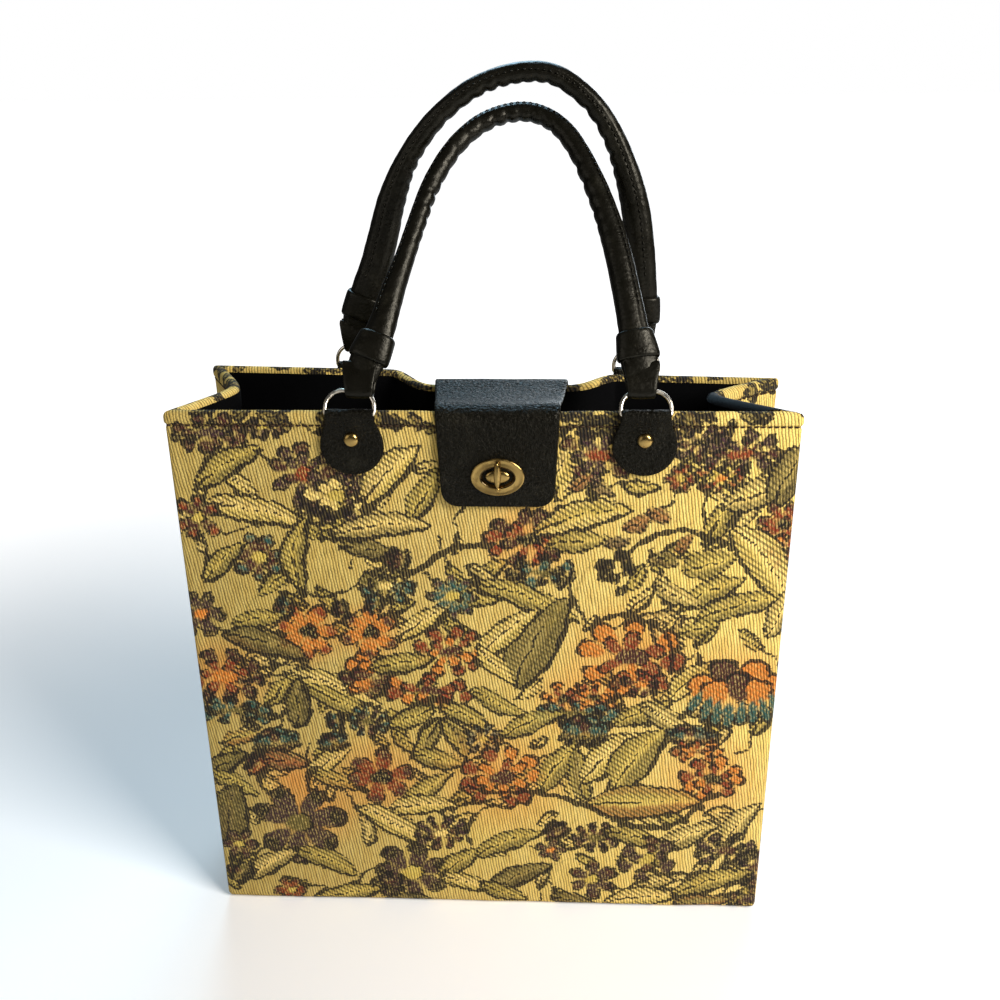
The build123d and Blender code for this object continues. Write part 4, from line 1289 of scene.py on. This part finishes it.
class TOTE_OT_lock(bpy.types.Operator):
    """Makes the turn lock: plate, base and knob"""

    bl_idname = "tote.lock"
    bl_label = "Turn lock"

    def execute(self, context):
        b, f = body(), fittings()
        middle, face = b.height - f.lock_drop, -0.5 * b.depth - leather().flap_leather - 0.0017
        w, h, iw, ih = f.plate_width, f.plate_height, f.hole_width, f.hole_height
        bw, bh = 0.0128, 0.0072
        blade_w, blade_h, out, neck, pin_drop = 0.0038, 0.0146, 0.0012, 0.0036, 0.0062
        plate = [(w, h, -0.0004), (w, h, 0.0008), (w - 0.0006, h - 0.0006, 0.0014),
                 (w - 0.0018, h - 0.0018, 0.0015), (w - 0.0026, h - 0.0026, 0.0013),
                 (w - 0.006, h - 0.0052, 0.0015), (iw + 0.0024, ih + 0.0024, 0.0016)]
        well = [(iw + 0.0024, ih + 0.0024, 0.0016), (iw + 0.0010, ih + 0.0010, 0.0013), (iw, ih, 0.0006),
                (iw - 0.0006, ih - 0.0006, -0.0003), (bw, bh, -0.0003)]
        boss = [(bw + 0.0004, bh + 0.0004, -0.0004), (bw, bh, 0.0004), (bw - 0.0008, bh - 0.0008, 0.0009),
                (bw - 0.003, bh - 0.003, 0.0012)]
        blade = [(neck, neck, out - 0.0008), (neck, neck, out + 0.0006), (blade_w, blade_h, out + 0.0008),
                 (blade_w, blade_h, out + 0.0030), (blade_w - 0.0006, blade_h - 0.0006, out + 0.0042),
                 (blade_w - 0.0020, blade_h - 0.0024, out + 0.0047)]
        pin = [(0.0026, 0.0026, 0.0), (0.0026, 0.0026, 0.0032), (0.0016, 0.0016, 0.0038)]
        pieces = (("lock_oval", plate, 0.0, False, "Aged brass", "bag", ["lock_plate", "lock_back_plate"]),
                  ("lock_well", well, 0.0, False, "Dark brass", "bag", ()),
                  ("lock_boss", boss, 0.0, True, "Aged brass", "bag", ["lock_base", "lock_washer"]),
                  ("knob_blade", blade, f.blade_lift, True, "Aged brass", "knob", ["lock_knob"]),
                  ("lock_pin", pin, -pin_drop, True, "Aged brass", "bag", ()))
        for name, rings, lift, cap, look, on, nodes in pieces:
            steps = 24 if name == "lock_pin" else f.oval_steps
            shape = oval_stack((b.middle, face, middle + lift), rings, steps, cap)
            new_piece(name, shape, look, on, nodes)
        return {"FINISHED"}


# Where the handles hinge and how far they lean back, as the plain solids have them
FRONT_HINGE, FRONT_LEAN = np.array([0.009, -0.05425, 0.3215]), 32
BACK_HINGE, BACK_LEAN = np.array([0.004255, 0.030585, 0.321736]), -1
BACK_RIGHT = np.array([0.99696, -0.07786, 0.00144])
# The handles' middle lines from the left to the right foot: across, up, width and depth in millimetres
FRONT_LINE = [(-70.5, 20, 17, 7), (-66, 31, 18.5, 9), (-60.5, 46, 15, 10.5), (-55, 66, 12.5, 11),
              (-49, 85, 10.5, 10.5), (-43, 105, 10, 10), (-37, 123, 10, 10), (-29, 139, 10, 10),
              (-19, 152, 10, 10), (-7, 161, 10, 10), (8, 165.5, 10, 10), (20, 164, 10, 10),
              (31, 157, 10.5, 10), (40, 145, 11, 10.5), (48, 128, 12, 11), (55, 109, 13, 11.5),
              (61, 88, 14, 12), (65.5, 66, 14.5, 12), (69, 46, 15.5, 11), (71.5, 31, 19, 8.5),
              (73, 20, 17, 7)]
BACK_LINE = [(-81, 20, 17, 7), (-78, 31, 19, 8.5), (-73, 46, 17.5, 11), (-67, 60, 17.5, 12),
             (-61.5, 77, 17, 12), (-56, 95, 15.5, 12), (-47, 115, 12.5, 11), (-33, 134, 11, 10.5),
             (-15, 149, 10.5, 10), (1, 156.5, 10.5, 10), (18, 160, 10.5, 10), (33, 158.5, 10.5, 10),
             (46, 151, 10.5, 10), (57, 140, 11, 10.5), (66, 125, 12, 11), (73, 107, 14, 12),
             (77.5, 90, 15.5, 12), (80, 72, 16.5, 12), (82, 50, 17, 11), (82, 33, 19, 8.5),
             (81.5, 20, 17, 7)]


def handle_frame(front):
    """A handle's hinge, and its own right and up."""
    if front:
        lean = math.radians(FRONT_LEAN)
        return FRONT_HINGE, np.array([1.0, 0, 0]), np.array([0, math.sin(lean), math.cos(lean)])
    lean = math.radians(BACK_LEAN)
    right = unit(BACK_RIGHT)
    behind = unit(np.cross(UPWARDS, right))
    up = behind * math.sin(lean) + UPWARDS * math.cos(lean)
    return BACK_HINGE, right, unit(up - right * (up @ right))


def ring_places(front):
    """The middles of the two rings' bars, left and right."""
    hinge, right, _ = handle_frame(front)
    spacing = fittings().front_spacing if front else fittings().back_spacing
    return [hinge + right * (0.5 * spacing * k) for k in (-1, 1)]


def handle_sections(front, count):
    """Middle line, outward and sideways directions, width and depth along a handle."""
    hinge, right, up = handle_frame(front)
    line = through(FRONT_LINE if front else BACK_LINE, count) * MM
    middle = hinge + line[:, :1] * right + line[:, 1:2] * up
    run = unit(np.gradient(middle, axis=0))
    side = unit(np.cross(right, up))
    out = unit(np.cross(run, side))
    if out[count // 2] @ up < 0:
        out = -out
    return middle, out, np.broadcast_to(side, out.shape), line[:, 2], line[:, 3]


def swept(middle, out, side, width, depth, sides, grow, power, pinch=None):
    """A flattened tube along a handle."""
    turn = np.linspace(0, 2 * np.pi, sides, endpoint=False)
    c, s = np.cos(turn), np.sin(turn)
    c, s = np.sign(c) * np.abs(c) ** power, np.sign(s) * np.abs(s) ** power
    w, d = 0.5 * width + grow, 0.5 * depth + grow
    radial = np.ones((len(middle), sides)) if pinch is None else pinch(turn)
    points = middle[:, None] + (out[:, None] * (w[:, None] * c * radial)[..., None]
                                + side[:, None] * (d[:, None] * s * radial)[..., None])
    faces = grid_faces(len(middle), sides, wrap_cols=True) + end_caps(len(middle), sides)
    return points.reshape(-1, 3), faces


def strap_loop(front, foot):
    """The leather that loops from a handle's foot round its ring: a bent strap, broader above."""
    hinge, right, up = handle_frame(front)
    face = np.cross(right, up)
    loop = [(0.0020, 0.027), (0.0029, 0.022), (0.0033, 0.017),
            (0.0029, 0.0125), (0.0016, 0.0102), (0, 0.0095)]
    loop = loop + [(-p, q) for p, q in loop[-2::-1]]
    curve = through(loop, 44)
    half = np.interp(curve[:, 1], [0.0095, 0.013, 0.026], [0.0062, 0.0066, 0.0083])
    cup = 0.0004
    grid = [[hinge + right * (foot * MM + h * a) + up * (q + cup * a * a) + face * p
             for a in np.linspace(-1, 1, 12)] for (p, q), h in zip(curve, half)]
    return slab(np.array(grid), leather().strap)


class TOTE_OT_handles(bpy.types.Operator):
    """Rolls the two leather handles with their loops, sleeves and seams"""

    bl_idname = "tote.handles"
    bl_label = "Handles"

    def execute(self, context):
        for word, front in BOTH_SIDES:
            self.roll(word, front)
        return {"FINISHED"}

    def roll(self, word, front):
        """One handle."""
        t, on = leather(), word + "_grip"
        count, sides, band_rows = 420, 40, 18
        seam_turn = math.radians(52 if front else 74)
        gather_pitch, band_low, band_high, seam_start = 0.0082, 0.0095, 0.0240, 0.034
        middle, out, side, width, depth = handle_sections(front, count)
        run = along_line(middle)
        whole = run[-1]
        bend = np.clip((np.minimum(run, whole - run) - 0.06) / 0.05, 0, 1)
        uneven = 0.6 + 0.4 * np.sin(run * 61 + 1.0) * np.sin(run * 143)
        beat = (0.5 + 0.5 * np.sin(run * 2 * np.pi / gather_pitch + 2.2 * np.sin(run * 70))) ** 2 * uneven

        def pinch(turn):
            """Gathers inside the bend, a groove along the seam and small wrinkles all over."""
            inner = np.clip(-np.cos(turn), 0, 1) ** 0.8
            groove = np.exp(-((np.abs(turn - np.pi) - np.pi + seam_turn) / 0.12) ** 2)
            depth_share = (t.gather / (0.5 * width))[:, None]
            wrinkle = np.array([[noise.noise(Vector((s * 260, 3 * math.cos(a), 3 * math.sin(a))))
                                 for a in turn] for s in run])
            gathers = depth_share * bend[:, None] * (beat[:, None] * inner[None, :])
            return 1 - gathers - 0.085 * groove[None, :] + 0.024 * wrinkle

        line = FRONT_LINE if front else BACK_LINE
        shape = joined([swept(middle, out, side, width, depth, sides, 0.0, 0.92, pinch),
                        strap_loop(front, line[0][0]), strap_loop(front, line[-1][0])])
        new_piece(word + "_roll", shape, "Handle leather", on,
                  [word + "_handle", word + "_handle_core"])
        bands = (("left", band_low, band_high), ("right", whole - band_high, whole - band_low))
        for name, low, high in bands:
            s = np.concatenate([[low, low, low + 0.0008], np.linspace(low + 0.0016, high - 0.0016, band_rows),
                                [high - 0.0008, high, high]])
            grow = np.concatenate([[0.0, 0.6, 0.92], np.ones(band_rows), [0.92, 0.6, 0.0]]) * t.sleeve
            shape = swept(*(at_run(s, run, values) for values in (middle, out, side)),
                          np.interp(s, run, width), np.interp(s, run, depth), sides, grow, 0.8)
            new_piece(f"{word}_{name}_band", shape, "Handle leather", on,
                      [f"{word}_{name}_sleeve"])
        c, s = math.cos(seam_turn), math.sin(seam_turn)
        place = middle + out * (0.5 * width * c)[:, None] + side * (0.5 * depth * s)[:, None]
        normal = unit(out * c / width[:, None] + side * s / depth[:, None])
        keep = (run > seam_start) & (run < whole - seam_start)
        shape = joined(stitch_line(place[keep], normal[keep], 0.0034, 0.0006))
        new_piece(word + "_seam", shape, "Handle leather", on, ())


def ring_line(centre, right, up):
    """The bent wire of a ring: a flat bar below and a round crown above."""
    f = fittings()
    w, h = f.ring_width - f.wire, f.ring_height - f.wire
    foot, crown = 0.0018, 0.009
    corners = [(-w / 2, 0, foot), (w / 2, 0, foot), (w / 2, h, crown), (-w / 2, h, crown)]
    line = []
    for k, (x, y, r) in enumerate(corners):
        before, after = corners[k - 1], corners[(k + 1) % 4]
        a = unit(np.array([before[0] - x, before[1] - y]))
        c = unit(np.array([after[0] - x, after[1] - y]))
        middle = np.array([x, y]) + (a + c) * r
        for turn in np.linspace(0, 1, 14) * math.pi / 2:
            line.append(middle - c * r * math.cos(turn) - a * r * math.sin(turn))
    line = np.array(line)
    return centre + line[:, :1] * right + line[:, 1:] * up


class TOTE_OT_rings(bpy.types.Operator):
    """Bends the four wire rings"""

    bl_idname = "tote.rings"
    bl_label = "Rings"

    def execute(self, context):
        radius = 0.5 * fittings().wire
        for word, front in BOTH_SIDES:
            _, right, up = handle_frame(front)
            bent = [ring_line(place, right, up) for place in ring_places(front)]
            shape = joined([tube(line, radius, 16, True) for line in bent])
            new_piece(word + "_wires", shape, "Pale nickel", word + "_grip", [word + "_rings"])
        return {"FINISHED"}


class TOTE_OT_tabs(bpy.types.Operator):
    """Folds the leather tabs round the rings' bars and sets their rivets"""

    bl_idname = "tote.tabs"
    bl_label = "Tabs and rivets"

    def execute(self, context):
        t, b = leather(), body()
        foot_out, rivet_drop = -0.0014, 0.0135
        rivets = []
        for word, front in BOTH_SIDES:
            _, right, _ = handle_frame(front)
            down = -UPWARDS
            if not front:
                lean = (0.5 * b.depth - 0.5 * (b.left_back + b.right_back)) / b.height
                down = unit(np.array([0.0, lean, -1.0]))
            out = unit(np.cross(right, -down)) * (1 if front else -1)
            for name, middle in zip(("left", "right"), ring_places(front)):
                across = [right * a for a in np.linspace(-1, 1, 25)]
                grid = [[middle + half * a + down * d + out * o for a in across]
                        for half, d, o in self.profile(foot_out)]
                shape = slab(np.array(grid), 0.6 * t.tab_leather, 1.0 if front else -1.0)
                new_piece(f"{word}_{name}_keeper", shape, "Tab leather", "bag",
                          [f"{word}_{name}_tab"])
                place = middle + down * rivet_drop + out * (foot_out + 0.3 * t.tab_leather)
                rivets.append((place, right, out))
        shape = joined([self.dome(*rivet) for rivet in rivets])
        new_piece("rivet_domes", shape, "Aged brass", "bag", ["rivet_caps", "rivet_backs"])
        return {"FINISHED"}

    def profile(self, foot_out):
        """A tab from its round end up and over the bar: half width, drop and how far out it stands."""
        t = leather()
        bar = 0.5 * fittings().wire + 0.0002 + 0.5 * t.tab_leather * 0.5
        low, lift = t.tab_drop + t.tab_round, 0.012
        drops = np.concatenate([low - np.linspace(0, 1, 16) ** 1.8 * t.tab_round,
                                np.linspace(t.tab_drop, 0.004, 14)[1:]])
        line = [(d, foot_out + (bar - foot_out) * max(0.0, 1 - d / lift) ** 2) for d in drops]
        line += [(-bar * math.sin(a), bar * math.cos(a)) for a in np.radians(range(10, 180, 20))]
        line += [(0.003, -bar)]
        rows = []
        for d, o in line:
            if d > t.tab_drop:
                half = math.sqrt(max(t.tab_round ** 2 - (d - t.tab_drop) ** 2, 0.0)) + 0.0002
            else:
                share = 0.5 - 0.5 * math.cos(math.pi * max(0.0, d) / t.tab_drop)
                half = 0.5 * t.tab_top + (t.tab_round - 0.5 * t.tab_top) * share
            rows.append((half, d, o))
        return rows

    def dome(self, place, right, out):
        """A rivet's cap: rings of (share of the radius, share of the height)."""
        f, steps = fittings(), 36
        up = np.cross(out, right)
        rings = [(1.0, -0.3), (1.0, 0.12), (0.97, 0.3), (0.9, 0.52), (0.78, 0.74),
                 (0.6, 0.9), (0.38, 0.98), (0.15, 1.0)]
        points = [place + (right * math.cos(a) + up * math.sin(a)) * (0.5 * f.rivet * r) + out * (f.dome * h)
                  for r, h in rings for a in np.linspace(0, 2 * np.pi, steps, endpoint=False)]
        faces = grid_faces(len(rings), steps, wrap_cols=True) + end_caps(len(rings), steps, False)
        return np.array(points), faces


# Name, place, target, size in metres, power in watts, colour and spread in degrees
LIGHTS = (("key", (0.95, -0.75, 0.95), (0.05, -0.02, 0.16), 0.65, 28.0, (1.0, 0.975, 0.94), 180.0),
          ("fill", (-1.2, -1.0, 0.8), (0.0, 0.0, 0.2), 1.1, 4.0, (1.0, 0.98, 0.96), 180.0),
          ("top", (-0.1, 0.95, 1.25), (0.0, 0.0, 0.3), 0.8, 2.2, (0.50, 0.78, 1.0), 60.0),
          ("behind", (0.5, 1.7, 0.55), (0.0, 0.0, 0.2), 1.0, 2.6, (0.86, 0.94, 1.0), 70.0))
CAMERA_PLACE = (0.03437, -0.56809, 0.48921)
CAMERA_TURN = (22.599, -2.71, -0.669)
SENSOR, LENS = 36.0, 38.35
FLOOR_HALF, ROOM_LIGHT = 14.0, 0.08


class TOTE_OT_stage(bpy.types.Operator):
    """Sets the pale floor, the lights and the camera"""

    bl_idname = "tote.stage"
    bl_label = "Studio"

    def execute(self, context):
        scene = context.scene
        stage = [self.floor()] + [self.light(*row) for row in LIGHTS]
        world = bpy.data.worlds.new("White room")
        scene.world = world
        world.use_nodes = True
        tree = world.node_tree
        back = tree.nodes["Background"]
        back.inputs["Color"].default_value = (1, 1, 1, 1)
        seen = tree.nodes.new("ShaderNodeLightPath").outputs["Is Camera Ray"]
        tree.links.new(ramp(tree, seen, 0.0, 1.0, ROOM_LIGHT, 1.0), back.inputs["Strength"])
        stage.append(self.camera())
        for obj in stage:
            scene.collection.objects.link(obj)
        scene.camera = stage[-1]
        scene.view_settings.view_transform = "Standard"
        return {"FINISHED"}

    def floor(self):
        """Pale paper that takes the bag's shadow and glows to white away from it."""
        mesh = bpy.data.meshes.new("studio_floor")
        corners = [(-1, -1), (1, -1), (1, 1), (-1, 1)]
        mesh.from_pydata([(FLOOR_HALF * x, FLOOR_HALF * y, 0) for x, y in corners], [], [(0, 1, 2, 3)])
        paper, tree, shader = new_material("Pale paper")
        shader.inputs["Base Color"].default_value = (0.92, 0.92, 0.92, 1)
        shader.inputs["Roughness"].default_value = 0.9
        shader.inputs["Emission Color"].default_value = (1, 1, 1, 1)
        reach = tree.nodes.new("ShaderNodeVectorMath")
        reach.operation = "LENGTH"
        tree.links.new(own_place(tree), reach.inputs[0])
        seen = tree.nodes.new("ShaderNodeLightPath").outputs["Is Camera Ray"]
        glow = ramp(tree, reach.outputs["Value"], 0.25, 1.1, 0.09, 1.0)
        tree.links.new(sums(tree, "MULTIPLY", glow, seen), shader.inputs["Emission Strength"])
        mesh.materials.append(paper)
        return bpy.data.objects.new("studio_floor", mesh)

    def light(self, name, where, target, size, power, colour, spread):
        data = bpy.data.lights.new(name, "AREA")
        data.size, data.energy, data.color = size, power, colour
        data.spread = math.radians(spread)
        lamp = bpy.data.objects.new(name, data)
        lamp.location = where
        lamp.rotation_euler = (Vector(target) - Vector(where)).to_track_quat("-Z", "Y").to_euler()
        return lamp

    def camera(self):
        data = bpy.data.cameras.new("camera")
        data.sensor_width, data.lens = SENSOR, LENS
        camera = bpy.data.objects.new("camera", data)
        pitch, yaw, roll = (math.radians(angle) for angle in CAMERA_TURN)
        look = Vector((math.sin(yaw) * math.cos(pitch), math.cos(yaw) * math.cos(pitch), -math.sin(pitch)))
        right = Vector((math.cos(yaw), -math.sin(yaw), 0))
        up = right.cross(look)
        right, up = (right * math.cos(roll) + up * math.sin(roll),
                     up * math.cos(roll) - right * math.sin(roll))
        turn = Matrix((right, up, -look)).transposed().to_4x4()
        camera.matrix_world = Matrix.Translation(CAMERA_PLACE) @ turn
        return camera


class TOTE_PT_panel(bpy.types.Panel):
    """Lists the steps of the bag"""

    bl_idname = "TOTE_PT_panel"
    bl_label = "Tote bag"
    bl_space_type = "VIEW_3D"
    bl_region_type = "UI"
    bl_category = "Tote bag"

    def draw(self, context):
        for operator in OPERATORS:
            self.layout.operator(operator.bl_idname)
        for name, _ in GROUPS:
            box = self.layout.box()
            settings = getattr(context.scene, name)
            for key in settings.bl_rna.properties.keys():
                if key not in ("rna_type", "name"):
                    box.prop(settings, key)


GROUPS = (("tote_body", ToteBody), ("tote_cloth", ToteCloth),
          ("tote_leather", ToteLeather), ("tote_fittings", ToteFittings))
OPERATORS = (TOTE_OT_tapestry, TOTE_OT_lining, TOTE_OT_stitches, TOTE_OT_flap, TOTE_OT_lock, TOTE_OT_handles,
             TOTE_OT_rings, TOTE_OT_tabs, TOTE_OT_stage)


def register():
    for name, group in GROUPS:
        bpy.utils.register_class(group)
        setattr(bpy.types.Scene, name, PointerProperty(type=group))
    for operator in OPERATORS:
        bpy.utils.register_class(operator)
    bpy.utils.register_class(TOTE_PT_panel)


def unregister():
    bpy.utils.unregister_class(TOTE_PT_panel)
    for operator in reversed(OPERATORS):
        bpy.utils.unregister_class(operator)
    for name, group in reversed(GROUPS):
        delattr(bpy.types.Scene, name)
        bpy.utils.unregister_class(group)


def main():
    register()
    bpy.ops.tote.tapestry()
    bpy.ops.tote.lining()
    bpy.ops.tote.stitches()
    bpy.ops.tote.flap()
    bpy.ops.tote.lock()
    bpy.ops.tote.handles()
    bpy.ops.tote.rings()
    bpy.ops.tote.tabs()
    bpy.ops.tote.stage()


if __name__ == "__main__":
    main()
